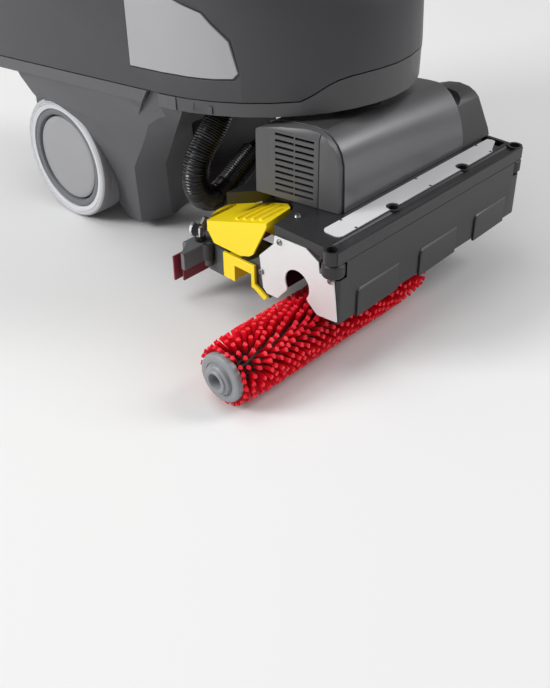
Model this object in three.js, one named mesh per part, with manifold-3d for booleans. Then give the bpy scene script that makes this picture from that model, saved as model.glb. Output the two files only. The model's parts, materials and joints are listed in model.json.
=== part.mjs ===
import * as THREE from "three";
import { mergeVertices } from "three/addons/utils/BufferGeometryUtils.js";
import Module from "manifold-3d";

const wasm = await Module();
wasm.setup();

// Working frame: x = 0 mid-plane, y = 0 rear axle, z = 0 floor, front toward -Y, millimetres.
const GAP = 0.3;
const WHEEL = { r: 100, out: 165, in: 115, rim: 82.7, cap: 69, axle: 12 };
const CASTOR = { r: 22, half: 9, x: 66, y: -112, pin: 4 };
const TANK = { a: 190, shoulder: -300, nose: -537, tail: 200, wall: 5 };
const SEAM = { z: 265.5, slope: -0.108 };
const BAND = { z: 246.4, slope: -0.11, front: -318 };
const TURBINE_Y = 86;
const ARCH = { r: 103, in: 109 };
const KING = { y: -470, r: 16, ring: 34, low: 262 };
const HEAD = { x: 205, front: -619, low: 85, joint: 171.5, top: 190 };
const BRUSH = { y: -552, z: 45.4, r: 45.4, x0: -333, length: 350, hub: 34 };
const DOG = { z: 117, r: 12, pulley: 28, x0: 186, x1: 198 };
const MOTOR = { y: -516, z: 226, r: 32, pulley: 16 };
const TURRET = { x0: -124, x1: 140, lobe: 208, wall: 3, back: -428, front: -559, foot: 190.6 };
const CORNER = { x: 199, y: -606 };
const LOUVRE = { rows: 10, low: 201, pitch: 8.7, slot: 27.5, thick: 3.6, cols: [-489.5, -518.5] };
const BAR = { half: 220, front: -349, back: -318, low: 59, top: 85 };
const HOSE = { r: 19, y: -332, pitch: 16, wave: 1.6 };
const TOP = { z: 512, front: -330, tail: 188, a: 164, lid: 662 };
const HINGE = { y: 226, z: 205, r: 9 };
const STEER = { y: 520, z: 960 };

const DARK = 0x2b2c2f;
const GREY = 0x6d6e72;
const LIGHT_GREY = 0xa4a5a8;
const PANEL = 0xbfc0c2;
const STEEL = 0xd9dadb;
const YELLOW = 0xf7d910;
const RED = 0xc8142c;
const DEEP_RED = 0x7a1a2a;
const BLACK = 0x151517;
const TYRE = 0xd2d2d0;
const SKIRT = 0x242528;
const DECK = 0x2e2f32;
const MOULDED = 0x3a3b3f;
const RUBBER = 0x3c3d40;
const GLOSS = 0x1d1d20;
const STRIP = 0xc6c7c9;
const CHROME = 0xb9babc;
const BARE_STEEL = 0x8a8c90;
const CAST = 0x5c5e63;
const PIPE = 0x2f6f9a;
const GREEN = 0x3a9a4a;

const root = new THREE.Group();
root.name = "floor_scrubber";

// ---- shape helpers: each returns a solid that booleans can join or cut ----

function toSolid(geometry) {
  const bare = geometry.clone();
  bare.deleteAttribute("normal");
  bare.deleteAttribute("uv");
  const merged = mergeVertices(bare, 1e-4);
  const vertProperties = merged.attributes.position.array;
  const triVerts = new Uint32Array(merged.index.array);
  const body = new wasm.Manifold(new wasm.Mesh({ numProp: 3, vertProperties, triVerts }));
  if (body.volume() >= 0) return body;
  for (let i = 0; i < triVerts.length; i += 3) {
    const second = triVerts[i + 1];
    triVerts[i + 1] = triVerts[i + 2];
    triVerts[i + 2] = second;
  }
  return new wasm.Manifold(new wasm.Mesh({ numProp: 3, vertProperties, triVerts }));
}

function toGeometry(body) {
  const mesh = body.getMesh();
  const position = new Float32Array(mesh.numVert * 3);
  for (let i = 0; i < mesh.numVert; i++) {
    position.set(mesh.vertProperties.subarray(i * mesh.numProp, i * mesh.numProp + 3), i * 3);
  }
  const geometry = new THREE.BufferGeometry();
  geometry.setAttribute("position", new THREE.BufferAttribute(position, 3));
  geometry.setIndex(new THREE.BufferAttribute(mesh.triVerts, 1));
  return geometry;
}

function add(name, body, color, roughness, metalness) {
  const material = new THREE.MeshStandardMaterial({ color, roughness, metalness });
  const geometry = toGeometry(body);
  geometry.computeVertexNormals();
  const mesh = new THREE.Mesh(geometry, material);
  mesh.name = name;
  root.add(mesh);
}

const join = (first, ...others) => others.reduce((sum, b) => sum.add(b), first);
const cut = (first, ...others) => others.reduce((sum, b) => sum.subtract(b), first);
const common = (first, ...others) => others.reduce((sum, b) => sum.intersect(b), first);
const mirrorX = (body) => toSolid(toGeometry(body).scale(-1, 1, 1));
const moved = (body, x, y, z) => toSolid(toGeometry(body).translate(x, y, z));

function box(x0, x1, y0, y1, z0, z1) {
  const geometry = new THREE.BoxGeometry(x1 - x0, y1 - y0, z1 - z0);
  return toSolid(geometry.translate((x0 + x1) / 2, (y0 + y1) / 2, (z0 + z1) / 2));
}

function outline(points) {
  return new THREE.Shape(points.map(([u, v]) => new THREE.Vector2(u, v)));
}

function extruded(shape, depth, curveSegments = 8) {
  return new THREE.ExtrudeGeometry(shape, { depth, curveSegments, bevelEnabled: false });
}

const asShape = (s) => (Array.isArray(s) ? outline(s) : s);

function turn(geometry, x, y, z) {
  const basis = new THREE.Matrix4().makeBasis(
    new THREE.Vector3(...x),
    new THREE.Vector3(...y),
    new THREE.Vector3(...z),
  );
  return geometry.applyMatrix4(basis);
}

// Outlines in (y, z), (x, z) or (x, y), pushed along the third axis.
function alongX(shape, x0, x1) {
  const geometry = extruded(asShape(shape), x1 - x0);
  return toSolid(turn(geometry, [0, 1, 0], [0, 0, 1], [1, 0, 0]).translate(x0, 0, 0));
}

function alongY(shape, y0, y1) {
  const geometry = extruded(asShape(shape), y1 - y0);
  return toSolid(turn(geometry, [1, 0, 0], [0, 0, 1], [0, -1, 0]).translate(0, y1, 0));
}

function alongZ(shape, z0, z1) {
  return toSolid(extruded(asShape(shape), z1 - z0).translate(0, 0, z0));
}

// A turned piece from (radius, height) points; the axis is x, y or z.
function turned(axis, profile, at, segments = 32) {
  const points = profile.map(([r, h]) => new THREE.Vector2(r, h));
  const geometry = new THREE.LatheGeometry(points, segments);
  if (axis === "x") geometry.rotateZ(-Math.PI / 2);
  if (axis === "z") geometry.rotateX(Math.PI / 2);
  return toSolid(geometry.translate(...at));
}

function rod(axis, r, from, to, a, b, segments = 24) {
  const at = { x: [0, a, b], y: [a, 0, b], z: [a, b, 0] }[axis];
  return turned(axis, [[0, from], [r, from], [r, to], [0, to]], at, segments);
}

function ring(axis, outer, inner, from, to, a, b, segments = 24) {
  const at = { x: [0, a, b], y: [a, 0, b], z: [a, b, 0] }[axis];
  const loop = [[inner, from], [outer, from], [outer, to], [inner, to], [inner, from]];
  return turned(axis, loop, at, segments);
}

// A solid through level sections that share one number of points.
function loftGeometry(sections) {
  const base = sections[0].points;
  const steps = sections.length - 1;
  const shape = outline(base);
  const geometry = new THREE.ExtrudeGeometry(shape, { depth: steps, steps, bevelEnabled: false });
  const p = geometry.attributes.position;
  for (let i = 0; i < p.count; i++) {
    const k = Math.round(p.getZ(i));
    const n = nearest(base, p.getX(i), p.getY(i));
    const [x, y] = sections[k].points[n];
    p.setXYZ(i, x, y, sections[k].z);
  }
  return geometry;
}
const loft = (sections) => toSolid(loftGeometry(sections));

// The same, from one (y, z) outline at x0 to another at x1.
function loftX(x0, from, x1, to) {
  const geometry = loftGeometry([{ z: x0, points: from }, { z: x1, points: to }]);
  return toSolid(turn(geometry, [0, 1, 0], [0, 0, 1], [1, 0, 0]));
}

function nearest(points, x, y) {
  let best = 0;
  let least = Infinity;
  points.forEach(([u, v], i) => {
    const d = (u - x) ** 2 + (v - y) ** 2;
    if (d < least) {
      least = d;
      best = i;
    }
  });
  return best;
}

// A round section swept along a smooth path through points.
function sweep(points, outer, inner, steps, segments) {
  const shape = new THREE.Shape().absarc(0, 0, outer, 0, 2 * Math.PI);
  if (inner > 0) shape.holes.push(new THREE.Path().absarc(0, 0, inner, 0, 2 * Math.PI, true));
  const path = new THREE.CatmullRomCurve3(points.map((p) => new THREE.Vector3(...p)));
  const options = { steps, extrudePath: path, curveSegments: segments, bevelEnabled: false };
  return toSolid(new THREE.ExtrudeGeometry(shape, options));
}

// ---- tank plan, skirt band and seam, shared by the pieces that meet there ----

function tankPlan(a, nose, tail, corner) {
  const points = [];
  const arc = 18;
  for (let i = 0; i <= arc; i++) {
    const t = Math.PI + (Math.PI * i) / arc;
    const y = TANK.shoulder + (TANK.shoulder - nose) * Math.sin(t);
    points.push([a * Math.cos(t), y]);
  }
  const bend = 4;
  for (let i = 0; i <= bend; i++) {
    const t = ((Math.PI / 2) * i) / bend;
    points.push([a - corner + corner * Math.cos(t), tail - corner + corner * Math.sin(t)]);
  }
  for (let i = 0; i <= bend; i++) {
    const t = Math.PI / 2 + ((Math.PI / 2) * i) / bend;
    points.push([-a + corner + corner * Math.cos(t), tail - corner + corner * Math.sin(t)]);
  }
  return points;
}

// The seam runs level with the band, then climbs in an S over the nose.
function seamLine(offset) {
  const at = (y) => SEAM.z + SEAM.slope * y + offset;
  const rise = [[-480, 1], [-486, 5], [-494, 11.5], [-502, 19.5], [-510, 26], [-520, 30.5],
    [-532, 32.6], [-560, 33]];
  const line = [[300, at(300)]];
  rise.forEach(([y, up]) => line.push([y, at(-480) + up]));
  return line;
}

const FAR = 400;
const belowSeam = (offset) => alongX([...seamLine(offset), [-560, -50], [300, -50]], -FAR, FAR);
const aboveSeam = (offset) => alongX([...seamLine(offset), [-560, 900], [300, 900]], -FAR, FAR);
function aboveBand(offset) {
  const at = (y) => BAND.z + BAND.slope * y + offset;
  return alongX([[300, at(300)], [-600, at(-600)], [-600, 900], [300, 900]], -FAR, FAR);
}

// ---- chassis: block between the wheels, flared over the arches ----

function flarePlan([a, rear], [b, by], [c, cy], [d, dy]) {
  const half = [[a, rear], [b, by], [c, cy], [d, dy]];
  const right = half.map(([x, y]) => [-x, y]);
  return [...right, ...half.reverse()];
}

// Corners at each height: side at the rear, side at the front, outer and inner front.
const FLARE = [
  [12, [118, -89], [118, -126], [71, -148], [20, -130]],
  [138, [155, -35], [155, -170], [115, -196], [60, -176]],
  [182, [166, 30], [166, -205], [135, -235], [78, -214]],
  [205, [177, 45], [172, -223], [145, -255], [88, -232]],
  [230, [185, 58], [181, -243], [157, -277], [99, -254]],
  [262, [190, 74], [188, -268], [171, -305], [114, -281]],
  [277, [190, 82], [190, -280], [178, -318], [121, -294]],
  [300, [190, 88], [190, -298], [184, -332], [126, -305]],
];
function flare(inset) {
  const level = ([z, ...corners]) => {
    const tight = corners.map(([x, y], i) => [x - inset, i ? y + inset : y - inset]);
    return { z, points: flarePlan(...tight) };
  };
  return loft(FLARE.map(level));
}

// Shallow facet cut into the corner of the block under the tank.
function cornerFacet() {
  const side = alongX([[-227, 241], [-239, 220], [-300, 214], [-300, 330], [-284, 330]], -210, -150);
  const plan = alongZ([[-210, -224], [-186.5, -224], [-178.5, -284], [-210, -284]], 200, 340);
  return common(side, plan);
}

function chassis() {
  const spine = box(-107, 107, -128, 150, 46, 300);
  const deckBand = alongZ(tankPlan(TANK.a, TANK.nose, TANK.tail - 6, 60), 200, 330);
  const clip = box(-FAR, FAR, BAND.front, 240, 0, 400);
  let body = join(flare(0), spine, common(deckBand, aboveBand(0), clip));
  body = common(body, belowSeam(-1));
  body = cut(body, common(aboveBand(-0.8), box(-FAR, FAR, -560, BAND.front, 0, 400)));
  body = cut(body, rod("z", 26.8, 250, 400, -120, HOSE.y, 28));
  const arch = (side) => {
    const outer = rod("x", ARCH.r, ARCH.in, 240, 0, 100, 48);
    return side > 0 ? outer : mirrorX(outer);
  };
  const hollow = common(flare(6), box(-FAR, FAR, -400, 300, 150, 400));
  const walls = join(rod("x", ARCH.r + 6, -FAR, FAR, 0, 100, 48), box(-107, 107, -200, 200, 0, 400));
  body = cut(body, cut(hollow, walls), arch(1), arch(-1));
  body = cut(body, box(-99, 99, -92, 58, 62, 400));
  body = cut(body, common(rod("z", 62, 80, 400, 0, TURBINE_Y, 28), box(-99, 99, 62, 146, 0, 400)));
  body = cut(body, rod("x", WHEEL.axle + GAP, -130, 130, 0, 100));
  body = cut(body, cornerFacet(), mirrorX(cornerFacet()));
  const pocket = CASTOR.r + 3;
  const half = CASTOR.half + 2;
  [-1, 1].forEach((side) => {
    const x = side * CASTOR.x;
    const room = box(x - half, x + half, CASTOR.y - pocket, CASTOR.y + pocket, 0, 50);
    const pin = rod("x", CASTOR.pin, x - half - 1, x + half + 1, CASTOR.y, CASTOR.r, 12);
    body = join(cut(body, room), pin);
  });
  return body;
}
add("chassis_shell", chassis(), GREY, 0.55, 0);

// Skirt: shallow open-bottomed tray that carries the kingpin under the nose of the tank.
function skirt() {
  const plan = (inset) => tankPlan(TANK.a - inset, TANK.nose + inset, TANK.tail, 60);
  const lower = { z: 230, points: plan(4) };
  const middle = { z: 300, points: plan(1) };
  const upper = { z: 380, points: plan(0) };
  const outside = loft([lower, middle, upper]);
  const zone = box(-FAR, FAR, -560, BAND.front - 0.8, 200, 400);
  let body = common(outside, aboveBand(0), belowSeam(-1), zone);
  const inside = alongZ(plan(9), 200, 400);
  const room = common(inside, belowSeam(-7), box(-FAR, FAR, -560, BAND.front - 8, 200, 400));
  body = cut(body, room);
  const ribs = [-346, -375.5, -403];
  ribs.forEach((y) => {
    [-1, 1].forEach((side) => {
      const x = side * 181;
      const rib = box(x - 4, x + 4, y - 3, y + 3, 290, 300);
      body = join(body, common(rib, alongZ(plan(-1), 200, 400)));
    });
  });
  const boss = common(ring("z", 26, 20.4, 250, 330, -120, HOSE.y, 28), belowSeam(-3), aboveBand(-12));
  return join(cut(body, rod("z", 20.4, 200, 400, -120, HOSE.y, 28)), boss);
}
add("front_skirt", skirt(), SKIRT, 0.5, 0);

const kingTop = SEAM.z + SEAM.slope * KING.y - 7.4;
const kingProfile = [[0, KING.low], [KING.r - 2, KING.low], [KING.r, KING.low + 2],
  [KING.r, kingTop - 9], [30, kingTop - 9], [30, kingTop - 3.5], [0, kingTop - 3.5]];
add("kingpin", turned("z", kingProfile, [0, KING.y, 0], 24), BARE_STEEL, 0.35, 1);

// ---- fresh-water tank ----

function tankLoft(inset, low, high) {
  const section = (z, a, nose, tail) => {
    return { z, points: tankPlan(a - inset, nose + inset, tail - inset, 60) };
  };
  return loft([
    section(low, TANK.a, TANK.nose, TANK.tail - 4),
    section(352, TANK.a, TANK.nose, TANK.tail),
    section(420, TANK.a, TANK.nose + 4, TANK.tail + 3),
    section(462, TANK.a - 3, TANK.nose + 20, TANK.tail + 4),
    section(494, TANK.a - 9, TANK.nose + 50, TANK.tail + 3),
    section(high, TANK.a - 16, TANK.nose + 78, TANK.tail - 2),
  ]);
}

const panelOutline = [[-232, 322], [-296, 329], [-322, 332], [-364, 336], [-388, 339], [-408, 342],
  [-415, 350], [-404, 388], [-368, 418], [-310, 430], [-232, 430]];

function grownOutline(points, grow) {
  const n = points.length;
  const cy = points.reduce((s, p) => s + p[0], 0) / n;
  const cz = points.reduce((s, p) => s + p[1], 0) / n;
  return points.map(([y, z]) => [y + grow * Math.sign(y - cy), z + grow * Math.sign(z - cz)]);
}

function panelSkin(inner, outer, grow) {
  const skin = cut(
    alongZ(tankPlan(TANK.a + outer, TANK.nose - outer, TANK.tail, 60), 300, 450),
    alongZ(tankPlan(TANK.a + inner, TANK.nose - inner, TANK.tail, 60), 299, 451),
  );
  return common(skin, alongX(grownOutline(panelOutline, grow), -FAR, 0));
}

const MOUTH = { r: 44, y: -392 };
let tank = common(tankLoft(0, 230, TOP.z), aboveSeam(0.6));
tank = cut(tank, common(tankLoft(TANK.wall, 230, TOP.z - TANK.wall), aboveSeam(0.6 + TANK.wall)));
tank = cut(tank, rod("z", MOUTH.r, 420, 560, 0, MOUTH.y, 32));
const recess = panelSkin(-2, 5, 2);
tank = cut(tank, recess, mirrorX(recess));
tank = cut(tank, rod("y", 14, 150, 240, -120, 300, 20));
add("fresh_water_tank", tank, DARK, 0.5, 0);
const panel = panelSkin(-1.6, 1.2, 0);
add("side_panel_right", panel, PANEL, 0.45, 0);
add("side_panel_left", mirrorX(panel), PANEL, 0.45, 0);

const capProfile = [[0, 498], [MOUTH.r - 1, 498], [MOUTH.r - 1, TOP.z + GAP], [50, TOP.z + GAP],
  [50, TOP.z + 9], [47, TOP.z + 12], [20, TOP.z + 12], [18, TOP.z + 9], [0, TOP.z + 9]];
const capRib = box(-30, 30, MOUTH.y - 3, MOUTH.y + 3, TOP.z + 6, TOP.z + 15);
add("fill_cap", join(turned("z", capProfile, [0, MOUTH.y, 0], 32), capRib), YELLOW, 0.45, 0);

const plugProfile = [[0, -26], [13, -26], [13, 0.5], [19, 0.5], [19, 9], [16, 12], [0, 12]];
const PLUG = { x: -120, y: TANK.tail - 0.9, z: 300 };
const plug = turned("y", plugProfile, [PLUG.x, PLUG.y, PLUG.z], 20);
add("drain_plug", plug, BLACK, 0.6, 0);

// ---- machinery inside the chassis ----

let battery = box(-97, 97, -90, 56, 64, 228);
[-1, 1].forEach((side) => {
  const x = side * 60;
  battery = join(battery, rod("z", 9, 226, 240, x, -50, 16));
});
battery = join(battery, box(-26, 26, 4, 12, 226, 238));
battery = cut(battery, rod("x", WHEEL.axle + 2, -120, 120, 0, 100, 20));
add("battery_pack", battery, MOULDED, 0.5, 0);

const turbineProfile = [[0, 84], [44, 84], [44, 140], [57, 146], [57, 176], [40, 182], [18, 182],
  [18, 196], [0, 196]];
let turbine = turned("z", turbineProfile, [0, TURBINE_Y, 0], 24);
turbine = common(turbine, box(-90, 90, 63.5, 144, 0, 400));
add("suction_turbine", turbine, CAST, 0.45, 0.2);

add("rear_axle", rod("x", WHEEL.axle, -147.5, 147.5, 0, 100), BARE_STEEL, 0.35, 1);

const socketProfile = [[16, 270], [20, 270], [20, 297], [16, 297], [16, 270]];
add("hose_socket", turned("z", socketProfile, [-120, HOSE.y, 0], 28), BLACK, 0.6, 0);

// ---- handle bracket on the back of the spine ----

let bracket = box(-70, 70, 150.4, 158, 140, 220);
[-1, 1].forEach((side) => {
  const lug = outline([[152, 146], [152, 220], [200, 221], [236, 219], [240, 196], [224, 188], [180, 168]]);
  bracket = join(bracket, side > 0 ? alongX(lug, 44, 54) : alongX(lug, -54, -44));
});
bracket = join(bracket, rod("x", HINGE.r, -56, 56, HINGE.y, HINGE.z, 20));
add("handle_bracket", bracket, MOULDED, 0.5, 0.3);

// ---- rear wheels ----

const bead = WHEEL.rim + GAP;
const tyreProfile = [[bead, -163.2], [90, -WHEEL.out], [95.5, -164], [99, -160], [WHEEL.r, -154],
  [WHEEL.r, -126], [98, -119], [94, -WHEEL.in], [bead, -116.4], [bead, -163.2]];
const bore = WHEEL.axle + GAP;
const rimProfile = [[bore, -148], [71, -148], [72, -161], [WHEEL.rim, -161], [WHEEL.rim, -118],
  [76, -118], [73, -140], [24, -140], [22, -113], [bore, -113], [bore, -148]];
const capFace = [[0, -148.4], [66, -148.4], [WHEEL.cap, -151], [WHEEL.cap, -156.5], [66, -159],
  [30, -160.5], [0, -160.5]];
const wheelAt = [0, 0, WHEEL.r];
[["right", (b) => b], ["left", mirrorX]].forEach(([side, place]) => {
  add("tyre_" + side, place(turned("x", tyreProfile, wheelAt, 32)), TYRE, 0.8, 0);
  add("rim_" + side, place(turned("x", rimProfile, wheelAt, 32)), GREY, 0.5, 0);
  add("hub_cap_" + side, place(turned("x", capFace, wheelAt, 24)), LIGHT_GREY, 0.45, 0);
});

const castorProfile = [[CASTOR.pin + GAP, -CASTOR.half], [CASTOR.r - 3, -CASTOR.half],
  [CASTOR.r, -CASTOR.half + 3], [CASTOR.r, CASTOR.half - 3], [CASTOR.r - 3, CASTOR.half],
  [CASTOR.pin + GAP, CASTOR.half], [CASTOR.pin + GAP, -CASTOR.half]];
[["right", -1], ["left", 1]].forEach(([side, sign]) => {
  const at = [sign * CASTOR.x, CASTOR.y, CASTOR.r];
  add("castor_wheel_" + side, turned("x", castorProfile, at, 20), RUBBER, 0.7, 0);
});

// ---- lift yoke: swivels on the kingpin, its two rods guide the head up and down ----

const ROD = { x: 60, r: 7, low: 197 };
const PLATE = { half: 60, y0: -403, y1: -394, low: 110, high: 288 };
const BEAM = { low: 256, high: 267.5 };
let yoke = ring("z", KING.ring, KING.r + GAP, BEAM.low, 296, 0, KING.y, 28);
const beam = box(-ROD.x - 11, ROD.x + 11, -480, -460, BEAM.low, BEAM.high);
yoke = join(yoke, cut(beam, rod("z", 30, 200, 300, 0, KING.y)));
[-1, 1].forEach((side) => {
  yoke = join(yoke, rod("z", ROD.r, ROD.low, BEAM.low + 5, side * ROD.x, KING.y, 16));
});
yoke = join(yoke, box(-20, 20, -440, PLATE.y1, PLATE.high - 16, PLATE.high));
const backPlate = box(-PLATE.half, PLATE.half, PLATE.y0, PLATE.y1, PLATE.low, PLATE.high);
yoke = join(yoke, cut(backPlate, box(-38, 38, -420, -380, 150, 250)));
add("lift_yoke", yoke, CAST, 0.45, 0.5);

// ---- brush chamber ----

function chamber() {
  const outer = [[HEAD.front, HEAD.low], [HEAD.front, HEAD.joint], [-512.5, HEAD.joint],
    [-512.5, 161], [-486.5, 134.5], [-486.5, HEAD.low]];
  const inner = [[-611, 60], [-611, 165], [-521, 165], [-520, 157], [-494, 131.5], [-494, 60]];
  let body = alongX(outer, -203.4, HEAD.x);
  body = cut(body, alongX(inner, -230, 176));
  body = cut(body, box(182, 201, -611, -494, 60, 165));
  const tray = cut(box(-123, 201, -515, -410, 140, HEAD.joint), box(-119, 197, -511, -414, 130, 166));
  body = join(body, cut(tray, alongX(inner, -230, 176)), box(-40, -36, -513, -411, 142, 168));
  body = join(body, box(100, 104, -513, -411, 142, 168));
  body = cut(body, box(183, 200, -592, -490, 135, 180));
  const pads = [[-167, -80], [-35, 51], [95, 175]];
  pads.forEach(([x0, x1]) => {
    const pad = [[x0, HEAD.front + 1], [x0, HEAD.front - 2.4], [x0 + 6, HEAD.front - 2.4],
      [x1, HEAD.front - 0.4], [x1, HEAD.front + 1]];
    body = join(body, alongZ(pad, 81, 122));
  });
  [-1, 1].forEach((side) => {
    const [x0, x1] = side > 0 ? [184, HEAD.x] : [-203.4, -184];
    const shelf = box(x0, x1, -618, -594, 143, 152);
    body = cut(join(body, shelf), rod("z", 17, 149, 180, side * CORNER.x, CORNER.y, 24));
    body = join(body, rod("z", 4, 148, HEAD.joint, side * CORNER.x, CORNER.y, 12));
  });
  const rods = [-ROD.x, ROD.x];
  rods.forEach((x) => {
    body = cut(body, rod("z", ROD.r + 1, 160, 180, x, KING.y, 16));
  });
  body = cut(body, rod("x", DOG.r + GAP, 170, 184, BRUSH.y, DOG.z));
  return body;
}
add("brush_chamber", chamber(), DECK, 0.45, 0);

const deckPlan = [[-206, HEAD.front], [206, HEAD.front], [206, -424], [188, -406], [-186, -406],
  [-157, -431], [-128.5, -440], [-128.5, -470.5], [-138, -486], [-153, -498], [-172, -507.2],
  [-206, -512.5]];
const DECK_SCREWS = [[-68, -594.5], [90, -593]];
function deck() {
  const under = HEAD.joint + 0.8;
  let body = alongZ(deckPlan, under, HEAD.top);
  const channel = [[-615, 200], [-615, 189], [-611, 187], [-600, 187], [-597, 189], [-597, 200]];
  body = cut(body, alongX(channel, -197, 197));
  body = cut(body, box(183, 200, -592, -490, 160, 200), box(-210, -203.4, -590, -505, 160, 178));
  body = cut(body, box(-119, TURRET.x1 - 6, -553, -486, 178, 200));
  DECK_SCREWS.forEach(([x, y]) => {
    body = cut(join(body, rod("z", 9.5, 184, HEAD.top, x, y, 20)), rod("z", 6.5, 180, 200, x, y, 16));
  });
  [-1, 1].forEach((side) => {
    const x = side * (CORNER.x + 4);
    body = join(body, rod("z", 11, under, HEAD.top, x, CORNER.y - 1, 20));
    body = cut(body, rod("z", 7.5, 180, 200, x, CORNER.y - 1, 16));
  });
  [-ROD.x, ROD.x].forEach((x) => {
    body = join(body, rod("z", 13, under, 214, x, KING.y, 20));
    body = cut(body, rod("z", ROD.r + GAP, 160, 230, x, KING.y, 16));
  });
  return body;
}
add("deck_plate", deck(), DECK, 0.5, 0);

const stripPlan = [[-178, -592], [-178, -572], [-173, -567], [168, -567], [190, -567.5], [193, -574],
  [192, -580], [166, -592], [160, -596.5], [-173, -596.5]];
let strip = alongZ(stripPlan, HEAD.top + 0.2, HEAD.top + 1.8);
DECK_SCREWS.forEach(([x, y]) => {
  strip = cut(strip, rod("z", 10, 180, 200, x, y, 20));
});
add("deck_strip", strip, STRIP, 0.35, 0.8);

// ---- stainless plate with the keyhole for changing the brush ----

const plateOutline = [[-619, 90], [-613, 148], [-611, 150], [-589.5, 150], [-588, 165], [-566, 177],
  [-513, 174], [-511, 161], [-485, 134], [-488, 110], [-491, 86], [-498, 80], [-517, 81],
  [-534, 93], [-569, 101], [-586, 87], [-591, 87]];
const hole = rod("x", 21, -230, -190, BRUSH.y, DOG.z, 32);
const notchSide = [[-535, 110], [-569, 110], [-569, 102], [-590, 78], [-515, 78], [-534, 101]];
const notch = alongX(notchSide, -230, -190);
const sidePlate = cut(alongX(plateOutline, -206, -203.8), hole, notch);
add("side_plate", sidePlate, STEEL, 0.28, 1);

// ---- motor cover: bent sheet over the drive motor, lower at the belt side ----

const coverNear = [[TURRET.front, TURRET.foot], [-558.5, 225], [-557, 256], [-553, 270], [-546, 281],
  [-536, 289], [-523, 294], [-508, 294.5], [-470, 290], [-440, 284], [TURRET.back, 278],
  [TURRET.back, TURRET.foot]];
const coverFar = [[TURRET.front, TURRET.foot], [-557.5, 208], [-551, 233], [-541, 253], [-531, 265],
  [-520, 273], [-506, 277], [-488, 276], [-470, 274], [-450, 270], [TURRET.back, 262],
  [TURRET.back, TURRET.foot]];
const MID = { y: -495, z: 200 };
function inward(points, t) {
  return points.map(([y, z]) => {
    const level = z < TURRET.foot + 1 ? z - 9 : z + t * Math.sign(MID.z - z);
    return [y + t * Math.sign(MID.y - y), level];
  });
}
const coverEnd = TURRET.x1 - TURRET.wall;
let cover = loftX(TURRET.x0, coverNear, TURRET.x1, coverFar);
cover = cut(
  cover,
  loftX(TURRET.x0 - 9, inward(coverNear, TURRET.wall), coverEnd, inward(coverFar, TURRET.wall)),
);
const neckRoom = rod("z", KING.ring + 3, 230, 330, 0, KING.y, 32);
cover = cut(cover, neckRoom, box(-24, 24, KING.y, -400, 240, 330));
cover = cut(cover, rod("x", 9, coverEnd - 5, TURRET.x1 + 5, MOTOR.y, MOTOR.z));
add("motor_cover", cover, GLOSS, 0.22, 0);

// ---- louvre housing on the service side of the motor ----

function louvreHousing() {
  const rear = TURRET.back - 2;
  const inner = TURRET.x0 - 0.5;
  const foot = TURRET.foot + 0.2;
  const plan = (inset) => [[-157 + inset, rear - inset], [-131.5 + inset, -556 + inset],
    [inner, -556 + inset], [inner, rear - inset]];
  const curve = [[-556, foot], [-555, 254], [-551, 269], [-544, 280], [-534, 288], [-521, 293],
    [-505, 294], [-470, 289], [-440, 283], [-428, 277], [-428, foot]];
  const upper = loft([
    { z: foot, points: plan(0) },
    { z: 284, points: plan(0.5) },
    { z: 296, points: plan(0.5).map(([x, y], i) => [i < 2 ? x + 5 : x, y]) },
  ]);
  let body = common(upper, alongX(curve, -200, -100));
  const core = plan(3).map(([x, y], i) => [i < 2 ? x : x + 10, y]);
  body = cut(body, common(alongZ(core, 100, 286), alongX(inward(curve, 3), -200, -100)));
  const depth = -128.5;
  for (let row = 0; row < LOUVRE.rows; row++) {
    const z = LOUVRE.low + row * LOUVRE.pitch;
    LOUVRE.cols.forEach((y) => {
      const [z0, z1] = [z - LOUVRE.thick / 2, z + LOUVRE.thick / 2];
      body = cut(body, box(-200, depth, y, y + LOUVRE.slot, z0, z1));
    });
  }
  return body;
}
add("louvre_housing", louvreHousing(), DARK, 0.5, 0);

// ---- belt side: lobe cover with a finger scoop, pulleys, belt, dog ----

const lobeCurve = [[TURRET.front, TURRET.foot], [-556, 200], [-534, 243], [-527, 249], [-516, 254],
  [-499, 255.5], [-481, 252.5], [-461, 245], [-444, 236], [-430, 222], [-430, TURRET.foot]];
const lobeStart = TURRET.x1 + 1;
const BELT = { x0: 184, x1: 205, shaftTop: 235 };
let lobe = alongX(lobeCurve, lobeStart, TURRET.lobe);
const lobeRoom = inward(lobeCurve, TURRET.wall);
const shaftRoom = box(-FAR, FAR, -FAR * 2, 0, 0, BELT.shaftTop);
lobe = cut(lobe, alongX(lobeRoom, BELT.x0, BELT.x1));
lobe = cut(lobe, common(alongX(lobeRoom, lobeStart + 3, BELT.x0 + 1), shaftRoom));
lobe = cut(lobe, rod("x", 9, lobeStart - 3, lobeStart + 9, MOTOR.y, MOTOR.z));
const scoop = new THREE.SphereGeometry(1, 24, 16).scale(24, 34, 20).translate(154, -508, 258);
lobe = cut(lobe, toSolid(scoop));
add("belt_cover", lobe, DARK, 0.45, 0);

let motor = turned("x", [[0, -112], [12, -112], [12, -106], [MOTOR.r - 3, -106], [MOTOR.r, -102],
  [MOTOR.r, 72], [MOTOR.r - 4, 78], [8, 78], [8, 184], [0, 184]], [0, MOTOR.y, MOTOR.z], 24);
motor = join(motor, box(-90, 60, MOTOR.y - 20, MOTOR.y + 20, 178.5, 200));
add("drive_motor", motor, CAST, 0.4, 0.6);

const SHAFT_END = 184.4;
const pulley = turned("x", [[0, SHAFT_END], [MOTOR.pulley, SHAFT_END + 1.2], [MOTOR.pulley, DOG.x1],
  [0, DOG.x1]], [0, MOTOR.y, MOTOR.z], 24);
add("motor_pulley", pulley, BARE_STEEL, 0.4, 0.8);

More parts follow.
